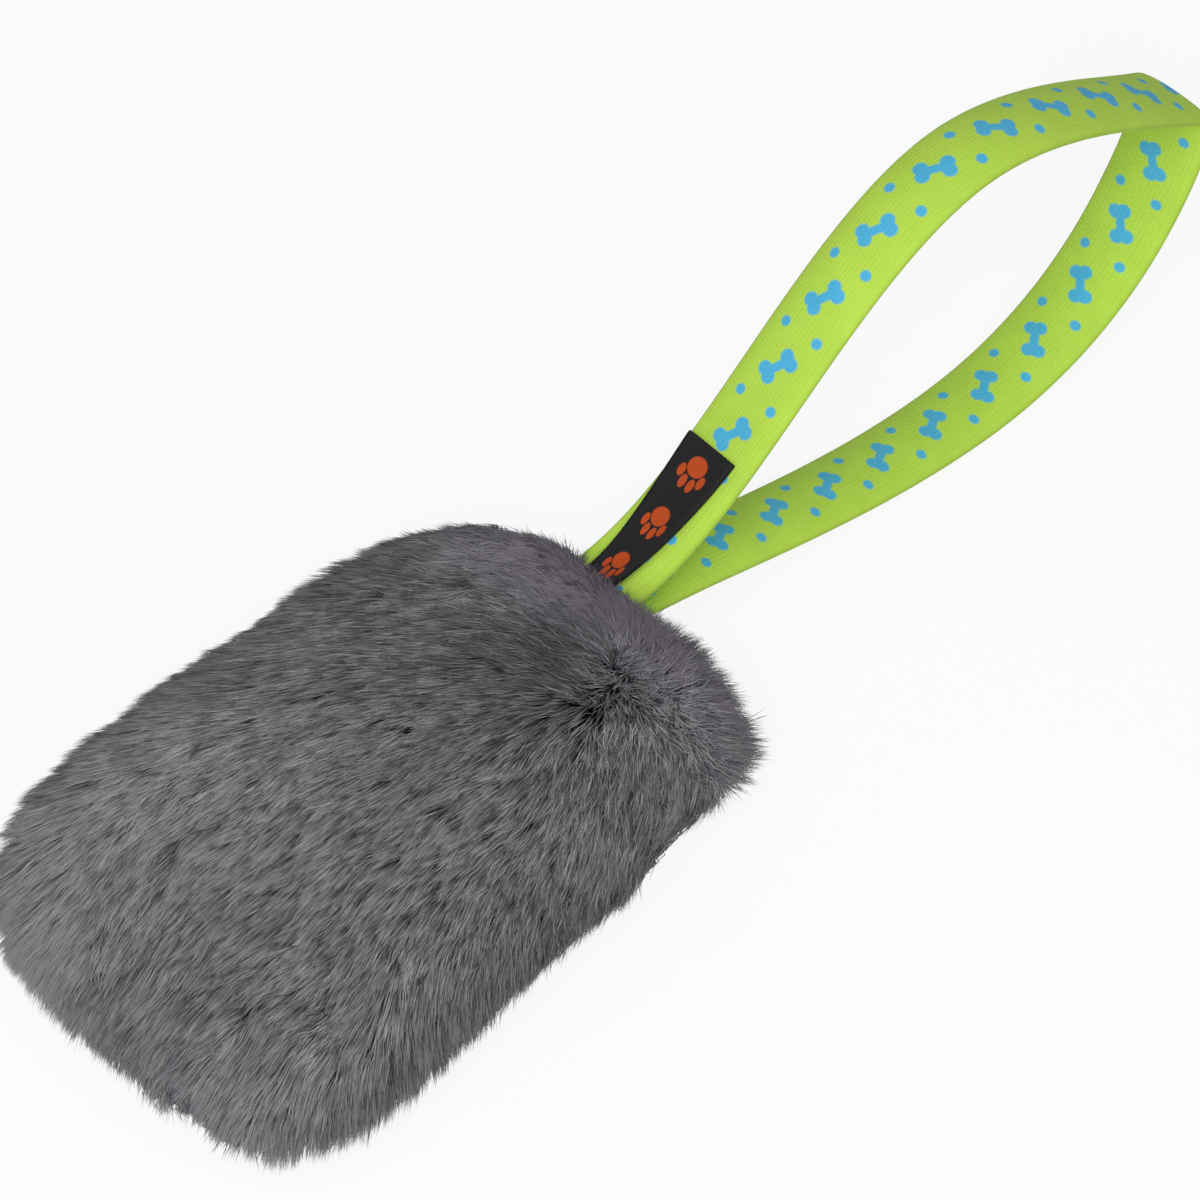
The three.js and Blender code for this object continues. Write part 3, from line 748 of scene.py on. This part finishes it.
pile_pieces = {1: [], -1: []}
for panel_side, label_of_side, strands in ((1, "top", TOP_STRANDS), (-1, "bottom", BOTTOM_STRANDS)):
    curves, tone = grow(panel_side, strands)
    order = np.argsort(curves[:, 0, 0])
    for number, start in enumerate(range(0, strands, STRANDS_PER_PIECE), 1):
        some = order[start:start + STRANDS_PER_PIECE]
        tufts = strand_mesh(f"pile_{label_of_side}_{number}", curves[some], tone[some])
        pile_pieces[panel_side].append(tufts)

for piece in [backing_top, *pile_pieces[1]]:
    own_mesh(piece)
print("pile:", TOP_STRANDS + BOTTOM_STRANDS, "strands in", sum(map(len, pile_pieces.values())), "pieces")

# %% [markdown]
# ## Webbing loop
#
# The loop is one length of soft tubular webbing, folded and sewn into the mouth. It is built directly as a
# flattened tube swept along the same curve as the solid, because a simulation would lose its crisp edges. It
# bends at the mouth, where the two tails stay in the pouch.

# %% Path of the webbing
STRAP_WIDTH = 20
STRAP_THICKNESS = 3.4
STRAND_GAP = 0.4
STRAP_SQUARENESS = 2.2
STRAP_CROWN = 1.5
UPPER_CROWN_FROM, LOWER_CROWN_FROM = 48, 6
CROWN_GROWTH = 30
TIP_FLATTENING = 25
LOWER_SHIFT = 0.9
LOWER_WIDENING = 1.03
TIP_WIDENING = 1.2
TIP_BLEND = 50
STRAP_YAW = math.radians(-2.7)
MOUTH_INSET = 3.8
TAIL_LENGTH = 15
CREST = (117, 67.5)
TIP = (195.5, 35)
FLOOR_REACH = 123
TIP_FOLD = 4
# Headings in degrees, where the two strands leave the mouth and where they reach the tip
UPPER_LEAVING, LOWER_LEAVING = -3, -11
UPPER_TIP, LOWER_TIP = -27, 81
# How strongly each stretch keeps to its headings, at its start and at its end
RISE_PULLS = (0.295, 0.335)
FALL_PULLS = (0.335, 0.17)
FOLD_PULLS = (0.42, 0.42)
DROP_PULLS = (0.25, 0.53)
RETURN_PULLS = (0.35, 0.25)
STRAP_STEP = 1.2

mouth_place = np.array([POUCH_LENGTH / 2 - MOUTH_INSET, STRAP_OFFSET, SEAM_HEIGHT])
mouth_turn = np.array([[math.cos(STRAP_YAW), -math.sin(STRAP_YAW), 0],
                       [math.sin(STRAP_YAW), math.cos(STRAP_YAW), 0], [0, 0, 1]])
strand_offset = (STRAP_THICKNESS + STRAND_GAP) / 2


def heading(degrees):
    """The direction at an angle above level, as reach and rise."""
    return np.array([math.cos(math.radians(degrees)), math.sin(math.radians(degrees))])


def bend(start, start_angle, end, end_angle, pulls, steps=60):
    """A smooth stretch of strap from start to end, leaving and arriving at the given headings."""
    start, end = np.array(start, float), np.array(end, float)
    span = np.linalg.norm(end - start)
    handles = [start, start + heading(start_angle) * pulls[0] * span,
               end - heading(end_angle) * pulls[1] * span, end]
    t = np.linspace(0, 1, steps)[:-1, None]
    weights = [(1 - t) ** 3, 3 * t * (1 - t) ** 2, 3 * t ** 2 * (1 - t), t ** 3]
    return sum(weight * handle for weight, handle in zip(weights, handles))


def strap_path():
    """Evenly spaced points along the middle of the webbing, as reach and rise, and how far along each is."""
    upper_turn = np.array(TIP) - TIP_FOLD * heading(UPPER_TIP)
    lower_turn = np.array(TIP) - TIP_FOLD * heading(LOWER_TIP)
    floor_point = (FLOOR_REACH, FLOOR_CLEARANCE + STRAP_THICKNESS / 2 - SEAM_HEIGHT)
    upper_mouth, lower_mouth = (0, strand_offset), (0, -strand_offset)
    rough = np.concatenate([
        [(-TAIL_LENGTH, strand_offset)],
        bend(upper_mouth, UPPER_LEAVING, CREST, 0, RISE_PULLS),
        bend(CREST, 0, upper_turn, UPPER_TIP, FALL_PULLS),
        bend(upper_turn, UPPER_TIP, lower_turn, LOWER_TIP + 180, FOLD_PULLS),
        bend(lower_turn, LOWER_TIP + 180, floor_point, 180, DROP_PULLS),
        bend(floor_point, 180, lower_mouth, 180 + LOWER_LEAVING, RETURN_PULLS),
        [lower_mouth, (-TAIL_LENGTH, -strand_offset)]])
    reach = np.concatenate([[0], np.cumsum(np.linalg.norm(np.diff(rough, axis=0), axis=1))])
    even = np.linspace(0, reach[-1], int(reach[-1] / STRAP_STEP))
    return np.stack([np.interp(even, reach, rough[:, i]) for i in range(2)], axis=1), even


strap_line, strap_reach = strap_path()
strap_ahead = unit(np.gradient(strap_line, axis=0))
strap_out = np.stack([-strap_ahead[:, 1], strap_ahead[:, 0]], axis=1)
strap_total = strap_reach[-1]
print("webbing", round(strap_total), "mm long")

# %% Webbing material and its print
MOTIF_PITCH = 19
BONE_LENGTH = 6.2
BONE_KNOB = 1.75
BONE_BAR = 1.15
BONE_BLEND = 0.35
BONE_LEAN = math.radians(32)
DOT_RADIUS = 1.3
INK_EDGE = 0.25

# Polyester tubular webbing, woven in fine ribs and printed: soft, matt and slightly fuzzy, the ribs just
# visible, with painted shade along its folded edges
webbing, tree, shader = new_material("printed_polyester_webbing", Roughness=0.78, Specular_IOR_Level=0.25,
                                     Sheen_Weight=0.05, Sheen_Roughness=0.5)
face_map = node(tree, "ShaderNodeUVMap", uv_map="Face")
face_mm = node(tree, "ShaderNodeVectorMath", {0: face_map.outputs[0], 1: (strap_total, STRAP_WIDTH, 0)},
               operation="MULTIPLY")
along_mm, across_mm, _ = node(tree, "ShaderNodeSeparateXYZ", {0: face_mm.outputs[0]}).outputs
half_width = STRAP_WIDTH / 2
from_middle = node(tree, "ShaderNodeMath", {0: across_mm, 1: half_width}, operation="SUBTRACT").outputs[0]
cell = node(tree, "ShaderNodeMath", {0: along_mm, 1: MOTIF_PITCH}, operation="MODULO").outputs[0]
in_cell = node(tree, "ShaderNodeMath", {0: cell, 1: MOTIF_PITCH / 2}, operation="SUBTRACT").outputs[0]
spot = node(tree, "ShaderNodeCombineXYZ", {"X": in_cell, "Y": from_middle}).outputs[0]
leaning = node(tree, "ShaderNodeVectorRotate", {"Vector": spot, "Angle": BONE_LEAN},
               rotation_type="Z_AXIS").outputs[0]

bone_half = BONE_LENGTH / 2
motif_parts = [(leaning, (end * bone_half, edge * BONE_BAR, 0), BONE_KNOB)
               for end in (-1, 1) for edge in (-1, 1)]
motif_parts += [(leaning, (step * bone_half / 3, 0, 0), BONE_BAR) for step in (-2, -1, 0, 1, 2)]
motif_parts += [(spot, (end * MOTIF_PITCH / 2, edge * STRAP_WIDTH / 4, 0), DOT_RADIUS)
                for end in (-1, 1) for edge in (-1, 1)]
nearest = None
for position, centre, radius in motif_parts:
    apart = node(tree, "ShaderNodeVectorMath", {0: position, 1: centre}, operation="DISTANCE")
    edge_gap = node(tree, "ShaderNodeMath", {0: apart.outputs["Value"], 1: radius},
                    operation="SUBTRACT").outputs[0]
    if nearest is not None:
        edge_gap = node(tree, "ShaderNodeMath", {0: nearest, 1: edge_gap, 2: BONE_BLEND},
                        operation="SMOOTH_MIN").outputs[0]
    nearest = edge_gap
ink = node(tree, "ShaderNodeMapRange",
           {"Value": nearest, "From Min": INK_EDGE, "From Max": -INK_EDGE}).outputs[0]
print("print of bones and dots every", MOTIF_PITCH, "mm")

# %% Weave of the webbing
RIB_PITCH = 0.62
WALE_PITCH = 1.1
WALE_SHARE = 0.5
RIB_DEPTH = 0.045
WEAVE_RELIEF = 0.12
CLOUD_SIZE = 9
CLOUD_DEPTH = 0.2
GRAIN_BASE = 0.91
EDGE_LINE = 0.7
EDGE_SHADE_DEPTH = 0.3

rib_turn = node(tree, "ShaderNodeMath", {0: along_mm, 1: 2 * math.pi / RIB_PITCH}, operation="MULTIPLY")
rib = node(tree, "ShaderNodeMath", {0: rib_turn.outputs[0]}, operation="SINE").outputs[0]
wale_turn = node(tree, "ShaderNodeMath", {0: across_mm, 1: 2 * math.pi / WALE_PITCH}, operation="MULTIPLY")
wale = node(tree, "ShaderNodeMath", {0: wale_turn.outputs[0]}, operation="SINE").outputs[0]
weave = node(tree, "ShaderNodeMath", {0: wale, 1: WALE_SHARE, 2: rib}, operation="MULTIPLY_ADD").outputs[0]
cloudy = node(tree, "ShaderNodeTexNoise",
              {"Vector": face_mm.outputs[0], "Scale": 1 / CLOUD_SIZE, "Detail": 3})
grain = node(tree, "ShaderNodeMath", {0: weave, 1: RIB_DEPTH, 2: GRAIN_BASE},
             operation="MULTIPLY_ADD").outputs[0]
grain = node(tree, "ShaderNodeMath", {0: cloudy.outputs[0], 1: CLOUD_DEPTH, 2: grain},
             operation="MULTIPLY_ADD").outputs[0]
# Painted shade: the colour is darkened over the last EDGE_LINE mm at each edge, where the folded tube turns
# from the light
from_edge = node(tree, "ShaderNodeMath", {0: from_middle}, operation="ABSOLUTE").outputs[0]
painted_edge_shade = node(tree, "ShaderNodeMapRange", {"Value": from_edge, "From Min": half_width - EDGE_LINE,
                                         "From Max": half_width, "To Max": EDGE_SHADE_DEPTH}).outputs[0]
grain = node(tree, "ShaderNodeMath", {0: grain, 1: painted_edge_shade}, operation="SUBTRACT").outputs[0]
dyed = node(tree, "ShaderNodeMix", {0: ink, 6: paint("#B7DC4E"), 7: paint("#4FB4DE")}, data_type="RGBA")
woven = node(tree, "ShaderNodeVectorMath", {0: dyed.outputs[2], "Scale": grain}, operation="SCALE")
bump = node(tree, "ShaderNodeBump", {"Height": weave, "Strength": 0.4, "Distance": WEAVE_RELIEF * MM})
tree.links.new(woven.outputs[0], shader.inputs["Base Color"])
tree.links.new(bump.outputs["Normal"], shader.inputs["Normal"])
print("webbing ribs every", RIB_PITCH, "mm")

# %% Sweep the webbing
STRAP_SIDES = 32
ROLL_HEIGHT = 3.6
ROLL_MIDDLE = -0.62
ROLL_WIDTH = 0.34
LIP_HEIGHT = 1.6
LIP_FROM = 0.4
ROLL_REACH = 30


def to_toy(reach_and_rise, across):
    """Points given along, up and across the mouth's frame, in the toy's frame."""
    local = np.concatenate([reach_and_rise[..., :1], across[..., None], reach_and_rise[..., 1:]], axis=-1)
    return local @ mouth_turn.T + mouth_place


def curl_at(line, share):
    """How far the webbing is bunched up near the mouth: a roll on one side and a lip on the other, in mm."""
    fade = np.exp(-(np.maximum(line[:, 0], 0) / ROLL_REACH) ** 2)[:, None]
    roll = ROLL_HEIGHT * np.exp(-((share - ROLL_MIDDLE) / ROLL_WIDTH) ** 2)
    lip = LIP_HEIGHT * np.clip((share - LIP_FROM) / (1 - LIP_FROM), 0, None) ** 2
    return fade * (roll + lip)


strap_angle = np.linspace(0, 2 * np.pi, STRAP_SIDES, endpoint=False)
side_share = signed_power(np.cos(strap_angle), 2 / STRAP_SQUARENESS)
face_share = signed_power(np.sin(strap_angle), 2 / STRAP_SQUARENESS)
strap_width = STRAP_WIDTH * (1 + (TIP_WIDENING - 1) * np.clip(strap_line[:, 0] / TIP[0], 0, 1) ** 3)
on_upper = strap_reach < strap_total / 2
strap_curl = np.where(on_upper[:, None], curl_at(strap_line, side_share), 0)
crown_from = np.where(on_upper, UPPER_CROWN_FROM, LOWER_CROWN_FROM)
crown_growth = np.clip((strap_line[:, 0] - crown_from) / CROWN_GROWTH, 0, 1)[:, None]
crown_growth *= np.clip((TIP[0] - strap_line[:, :1]) / TIP_FLATTENING, 0, 1)
strap_crown = STRAP_CROWN * crown_growth * face_share * (1 - side_share ** 2)
past_tip = np.clip((strap_reach - strap_total / 2) / TIP_BLEND + 0.5, 0, 1)
lower_growth = (past_tip * np.clip(strap_line[:, 0] / ROLL_REACH, 0, 1))[:, None]
strap_width = strap_width[:, None] * (1 + (LOWER_WIDENING - 1) * lower_growth)
strap_across = strap_width / 2 * side_share + LOWER_SHIFT * lower_growth
rise = STRAP_THICKNESS / 2 * face_share + strap_curl + strap_crown
strap_rings = to_toy(strap_line[:, None] + strap_out[:, None] * rise[..., None], strap_across)
strap_points = strap_rings.reshape(-1, 3)
strap_points[:, 2] = np.maximum(strap_points[:, 2], FLOOR_CLEARANCE)
rings = len(strap_line)
strap_faces = []
for r in range(rings - 1):
    near_ring, next_ring = r * STRAP_SIDES, (r + 1) * STRAP_SIDES
    for s in range(STRAP_SIDES):
        after = (s + 1) % STRAP_SIDES
        strap_faces.append((near_ring + s, next_ring + s, next_ring + after, near_ring + after))
last_ring = (rings - 1) * STRAP_SIDES
strap_faces += [tuple(range(STRAP_SIDES)), tuple(range(last_ring + STRAP_SIDES - 1, last_ring - 1, -1))]
strap = mesh_piece("webbing_loop", strap_points, strap_faces, webbing)
print("webbing swept in", rings, "rings")

round_map = strap.data.uv_layers.new(name="OFBake")
flat_map = strap.data.uv_layers.new(name="Face")
for face in strap.data.polygons:
    wraps = face.loop_total == 4 and {c % STRAP_SIDES for c in face.vertices} == {0, STRAP_SIDES - 1}
    for loop in face.loop_indices:
        ring, corner = divmod(strap.data.loops[loop].vertex_index, STRAP_SIDES)
        share = strap_reach[ring] / strap_total
        turn = 1.0 if wraps and corner == 0 else corner / STRAP_SIDES
        round_map.uv[loop].vector = (share, turn)
        flat_map.uv[loop].vector = (share, (side_share[corner] + 1) / 2)

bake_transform(strap)
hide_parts("handle_strap", "strap_tail_upper", "strap_tail_lower")

# %% [markdown]
# ## Folded label
#
# A woven satin ribbon is folded in half, and its two ends are sewn into the mouth on top of the webbing.
# It follows the webbing's curl near the mouth. A row of small orange paws is woven into it.

# %% Label material
LABEL_WIDTH = 16
LABEL_START = 2
LABEL_END = 46
LABEL_FLAT = 2 * (LABEL_END - LABEL_START)
LABEL_RIB = 0.5
LABEL_RELIEF = 0.06
RIB_SHADE = 0.12
PAWS_ON_LABEL = 6
PAW_AHEAD = 0.4
PAW_EDGE = 0.06
PAW_SPACING = LABEL_FLAT / PAWS_ON_LABEL
PAW_PLACE = (PAW_SPACING * PAW_AHEAD, LABEL_WIDTH / 2)
# A pad and four toes: each one's place in the paw and its half sizes, in mm
PAW_PARTS = (
    ((0, 0), (2.6, 3.0)),
    ((2.6, -3.6), (1.7, 1.1)),
    ((4.6, -1.4), (1.8, 1.1)),
    ((4.6, 1.4), (1.8, 1.1)),
    ((2.6, 3.6), (1.7, 1.1)),
)

# Woven polyester satin: near black, with a fine cross rib and a dull silky sheen
satin, tree, shader = new_material("woven_satin_label", Roughness=0.65, Specular_IOR_Level=0.2)
label_map = node(tree, "ShaderNodeUVMap", uv_map="OFBake")
label_mm = node(tree, "ShaderNodeVectorMath", {0: label_map.outputs[0], 1: (LABEL_FLAT, LABEL_WIDTH, 0)},
                operation="MULTIPLY").outputs[0]
label_along = node(tree, "ShaderNodeSeparateXYZ", {0: label_mm}).outputs["X"]
in_row = node(tree, "ShaderNodeVectorMath", {0: label_mm, 1: (PAW_SPACING, 2 * LABEL_WIDTH, 1)},
              operation="MODULO").outputs[0]
nearest = None
for (ahead, aside), (toe_length, toe_width) in PAW_PARTS:
    centre = (PAW_PLACE[0] + ahead, PAW_PLACE[1] + aside, 0)
    moved = node(tree, "ShaderNodeVectorMath", {0: in_row, 1: centre}, operation="SUBTRACT").outputs[0]
    shares = node(tree, "ShaderNodeVectorMath", {0: moved, 1: (toe_length, toe_width, 1)},
                  operation="DIVIDE").outputs[0]
    apart = node(tree, "ShaderNodeVectorMath", {0: shares}, operation="LENGTH").outputs["Value"]
    if nearest is not None:
        apart = node(tree, "ShaderNodeMath", {0: nearest, 1: apart}, operation="MINIMUM").outputs[0]
    nearest = apart
thread = node(tree, "ShaderNodeMapRange",
              {"Value": nearest, "From Min": 1 + PAW_EDGE, "From Max": 1 - PAW_EDGE}).outputs[0]
rib_turn = node(tree, "ShaderNodeMath", {0: label_along, 1: 2 * math.pi / LABEL_RIB}, operation="MULTIPLY")
rib = node(tree, "ShaderNodeMath", {0: rib_turn.outputs[0]}, operation="SINE").outputs[0]
grain = node(tree, "ShaderNodeMath", {0: rib, 1: RIB_SHADE, 2: 1.0}, operation="MULTIPLY_ADD").outputs[0]
dyed = node(tree, "ShaderNodeMix", {0: thread, 6: paint("#121214"), 7: paint("#B84A1C")}, data_type="RGBA")
woven = node(tree, "ShaderNodeVectorMath", {0: dyed.outputs[2], "Scale": grain}, operation="SCALE")
bump = node(tree, "ShaderNodeBump", {"Height": rib, "Strength": 0.25, "Distance": LABEL_RELIEF * MM})
tree.links.new(woven.outputs[0], shader.inputs["Base Color"])
tree.links.new(bump.outputs["Normal"], shader.inputs["Normal"])
print("label woven with a paw every", round(PAW_SPACING, 1), "mm")

# %% Path of the label
LABEL_LEAF = 0.5
LABEL_FOLD_GAP = 0.4
LABEL_SEAT_GAP = 0.35
LABEL_STEPS = 44
FOLD_STEPS = 9
LABEL_COLUMNS = 14
LABEL_GATHER = 0.42
LABEL_SHIFT = 1.6
MOUTH_SHIFT = -0.8


def label_path():
    """Reach along the webbing and height over it: out from the sewn end, round the fold and back on top."""
    low = STRAP_THICKNESS / 2 + LABEL_SEAT_GAP + LABEL_LEAF / 2
    lift_radius = (LABEL_LEAF + LABEL_FOLD_GAP) / 2
    out = np.linspace(LABEL_START, LABEL_END - lift_radius, LABEL_STEPS)
    fold = np.linspace(-np.pi / 2, np.pi / 2, FOLD_STEPS)[1:-1]
    reach = np.concatenate([out, out[-1] + lift_radius * np.cos(fold), out[::-1]])
    height = np.concatenate([np.full(LABEL_STEPS, low), low + lift_radius * (1 + np.sin(fold)),
                             np.full(LABEL_STEPS, low + 2 * lift_radius)])
    return reach, height


label_reach, label_height = label_path()
line_at = [np.interp(label_reach + TAIL_LENGTH, strap_reach, strap_line[:, i]) for i in range(2)]
out_at = [np.interp(label_reach + TAIL_LENGTH, strap_reach, strap_out[:, i]) for i in range(2)]
label_line = np.stack(line_at, axis=1)
label_out = np.stack(out_at, axis=1)
label_fade = np.exp(-(label_line[:, :1] / ROLL_REACH) ** 2)
label_half = LABEL_WIDTH / 2 * (1 - LABEL_GATHER * label_fade)
label_across_mm = np.linspace(-1, 1, LABEL_COLUMNS) * label_half + LABEL_SHIFT + MOUTH_SHIFT * label_fade
label_curl = curl_at(label_line, label_across_mm * 2 / STRAP_WIDTH)
label_along_path = np.stack([label_reach, label_height], axis=1)
path_step = unit(np.gradient(label_along_path, axis=0))
path_side = np.stack([-path_step[:, 1], path_step[:, 0]], axis=1)
print("label laid over the webbing in", len(label_reach), "rows")

# %% Fold the label
def label_skin(offset):
    """One face of the ribbon, offset mm to the side of its middle."""
    reach = label_reach + offset * path_side[:, 0]
    height = label_height + offset * path_side[:, 1]
    slide = (reach - label_reach)[:, None]
    ahead = np.stack([label_out[:, 1], -label_out[:, 0]], axis=1)
    base = label_line + slide * ahead
    rise_over = height[:, None] + label_curl
    return to_toy(base[:, None] + label_out[:, None] * rise_over[..., None], label_across_mm)


inner_face = label_skin(LABEL_LEAF / 2)
outer_face = label_skin(-LABEL_LEAF / 2)
label_rows = len(label_reach)
ring_of_row = np.concatenate([outer_face, inner_face[:, ::-1]], axis=1)
label_ring = 2 * LABEL_COLUMNS
label_faces = [(r * label_ring + s, r * label_ring + (s + 1) % label_ring,
                (r + 1) * label_ring + (s + 1) % label_ring, (r + 1) * label_ring + s)
               for r in range(label_rows - 1) for s in range(label_ring)]
last_row = (label_rows - 1) * label_ring
label_faces += [tuple(range(label_ring - 1, -1, -1)), tuple(range(last_row, last_row + label_ring))]
label = mesh_piece("folded_label", ring_of_row.reshape(-1, 3), label_faces, satin)
label_lengths = np.concatenate([[0], np.cumsum(np.linalg.norm(np.diff(label_along_path, axis=0), axis=1))])
label_uv = label.data.uv_layers.new(name="OFBake")
for face in label.data.polygons:
    for loop in face.loop_indices:
        row, corner = divmod(label.data.loops[loop].vertex_index, label_ring)
        column = corner if corner < LABEL_COLUMNS else label_ring - 1 - corner
        label_uv.uv[loop].vector = (label_lengths[row] / label_lengths[-1], column / (LABEL_COLUMNS - 1))
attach(label, "label")
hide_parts("woven_label")
print("label", LABEL_WIDTH, "x", LABEL_FLAT, "mm, folded once")

# %% [markdown]
# ## Filling and squeaker
#
# Inside is polyester fibre in two wads with a squeaker between them. They can't be seen in the photograph,
# but the part has them, so they get their own finish. The wads and the bulb are copies of their solids, each
# a piece of its own.

# %% Filling and bulb
WAD_LUMP = 6.0
WAD_RELIEF = 0.8
MOTTLE_SIZE = 4

# Polyester fibre fill, carded: white and cloudy, with no gloss
fibre, tree, shader = new_material("polyester_fibre_filling", Roughness=1.0, Specular_IOR_Level=0.1,
                                   Sheen_Weight=0.2)
place = node(tree, "ShaderNodeTexCoord").outputs["Object"]
tangle = node(tree, "ShaderNodeTexNoise", {"Vector": place, "Scale": 1 / (WAD_LUMP * MM), "Detail": 6})
cloud = node(tree, "ShaderNodeValToRGB", {"Fac": tangle.outputs[0]})
cloud.color_ramp.elements[0].color = paint("#C9C8C4")
cloud.color_ramp.elements[1].color = paint("#F4F3EF")
bump = node(tree, "ShaderNodeBump",
            {"Height": tangle.outputs[0], "Strength": 0.8, "Distance": WAD_RELIEF * MM})
tree.links.new(cloud.outputs["Color"], shader.inputs["Base Color"])
tree.links.new(bump.outputs["Normal"], shader.inputs["Normal"])

# Soft blow-moulded polyethylene: milky, a little waxy, with faint mottling from the mould
bulb_plastic, tree, shader = new_material("blown_polyethylene_bulb", Roughness=0.38, Subsurface_Weight=0.15)
place = node(tree, "ShaderNodeTexCoord").outputs["Object"]
mottle = node(tree, "ShaderNodeTexNoise", {"Vector": place, "Scale": 1 / (MOTTLE_SIZE * MM), "Detail": 2})
milk = node(tree, "ShaderNodeValToRGB", {"Fac": mottle.outputs[0]})
milk.color_ramp.elements[0].color = paint("#D9DAD6")
milk.color_ramp.elements[1].color = paint("#ECECE8")
tree.links.new(milk.outputs["Color"], shader.inputs["Base Color"])


def soft_copy(name, solid, material):
    """A copy of a solid's mesh as a piece of its own."""
    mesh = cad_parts[solid].data.copy()
    mesh.name = name
    mesh.materials.clear()
    mesh.materials.append(material)
    mesh.shade_smooth()
    piece = bpy.data.objects.new(name, mesh)
    bpy.context.scene.collection.objects.link(piece)
    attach(piece, "pouch")
    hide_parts(solid)
    return piece


wad_top = soft_copy("fibre_wad_top", "filling_top_wad", fibre)
wad_bottom = soft_copy("fibre_wad_bottom", "filling_bottom_wad", fibre)
bulb = soft_copy("squeaker_bulb_soft", "squeaker_bulb", bulb_plastic)
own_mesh(wad_top)
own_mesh(bulb)
print("filling and bulb ready")

# %% [markdown]
# ## Threads and squeaker insert
#
# These solids already have the right shape, so they only get a finish: twisted thread for the seams, hard
# plastic for the reed's holder and wedge, and clear film for the reed.

# %% Finishes for the small solids
# Real plies turn about once in a millimetre. They are drawn about ten times as coarse, to show
PLY_PITCH = 11.3
# How far Blender's diagonal waves turn over one unit, in radians
WAVE_RADIANS = 10
PLY_RELIEF = 0.1
FLOW_MARK_SIZE = 3
HAZE_SIZE = 2

# Spun polyester sewing thread: dark grey, matt, with the twist of its plies
twist, tree, shader = new_material("spun_polyester_thread", Roughness=0.85, Specular_IOR_Level=0.2)
place = node(tree, "ShaderNodeTexCoord").outputs["Object"]
ply_scale = 2 * math.pi / (PLY_PITCH * MM * WAVE_RADIANS)
plies = node(tree, "ShaderNodeTexWave", {"Vector": place, "Scale": ply_scale, "Distortion": 1.5},
             bands_direction="DIAGONAL")
shade = node(tree, "ShaderNodeValToRGB", {"Fac": plies.outputs[0]})
shade.color_ramp.elements[0].color = paint("#2A282B")
shade.color_ramp.elements[1].color = paint("#4B484D")
bump = node(tree, "ShaderNodeBump",
            {"Height": plies.outputs[0], "Strength": 0.6, "Distance": PLY_RELIEF * MM})
tree.links.new(shade.outputs["Color"], shader.inputs["Base Color"])
tree.links.new(bump.outputs["Normal"], shader.inputs["Normal"])

# Injection-moulded polystyrene: ivory and smooth, with a slight cloudiness in the moulding
styrene, tree, shader = new_material("moulded_polystyrene_insert", Roughness=0.3, IOR=1.55)
place = node(tree, "ShaderNodeTexCoord").outputs["Object"]
flow_marks = node(tree, "ShaderNodeTexNoise",
                  {"Vector": place, "Scale": 1 / (FLOW_MARK_SIZE * MM), "Detail": 2})
ivory = node(tree, "ShaderNodeValToRGB", {"Fac": flow_marks.outputs[0]})
ivory.color_ramp.elements[0].color = paint("#D8D2C2")
ivory.color_ramp.elements[1].color = paint("#E8E4D8")
tree.links.new(ivory.outputs["Color"], shader.inputs["Base Color"])

# Polyester film, cut into a tongue: pale, glossy and slightly see-through
film, tree, shader = new_material("polyester_film_reed", Roughness=0.15, IOR=1.6, Alpha=0.85)
place = node(tree, "ShaderNodeTexCoord").outputs["Object"]
haze = node(tree, "ShaderNodeTexNoise", {"Vector": place, "Scale": 1 / (HAZE_SIZE * MM), "Detail": 2})
pale = node(tree, "ShaderNodeValToRGB", {"Fac": haze.outputs[0]})
pale.color_ramp.elements[0].color = paint("#D6DADB")
pale.color_ramp.elements[1].color = paint("#EEF0F0")
tree.links.new(pale.outputs["Color"], shader.inputs["Base Color"])

finishes = {"side_seam_thread": twist, "closing_seam_thread": twist, "bar_tack_thread": twist,
            "squeaker_reed_holder": styrene, "squeaker_reed_wedge": styrene, "squeaker_reed": film}
for solid, finish in finishes.items():
    mesh_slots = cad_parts[solid].material_slots
    for mesh_slot in mesh_slots:
        mesh_slot.link = "OBJECT"
        mesh_slot.material = finish
print("finished", len(finishes), "small solids")
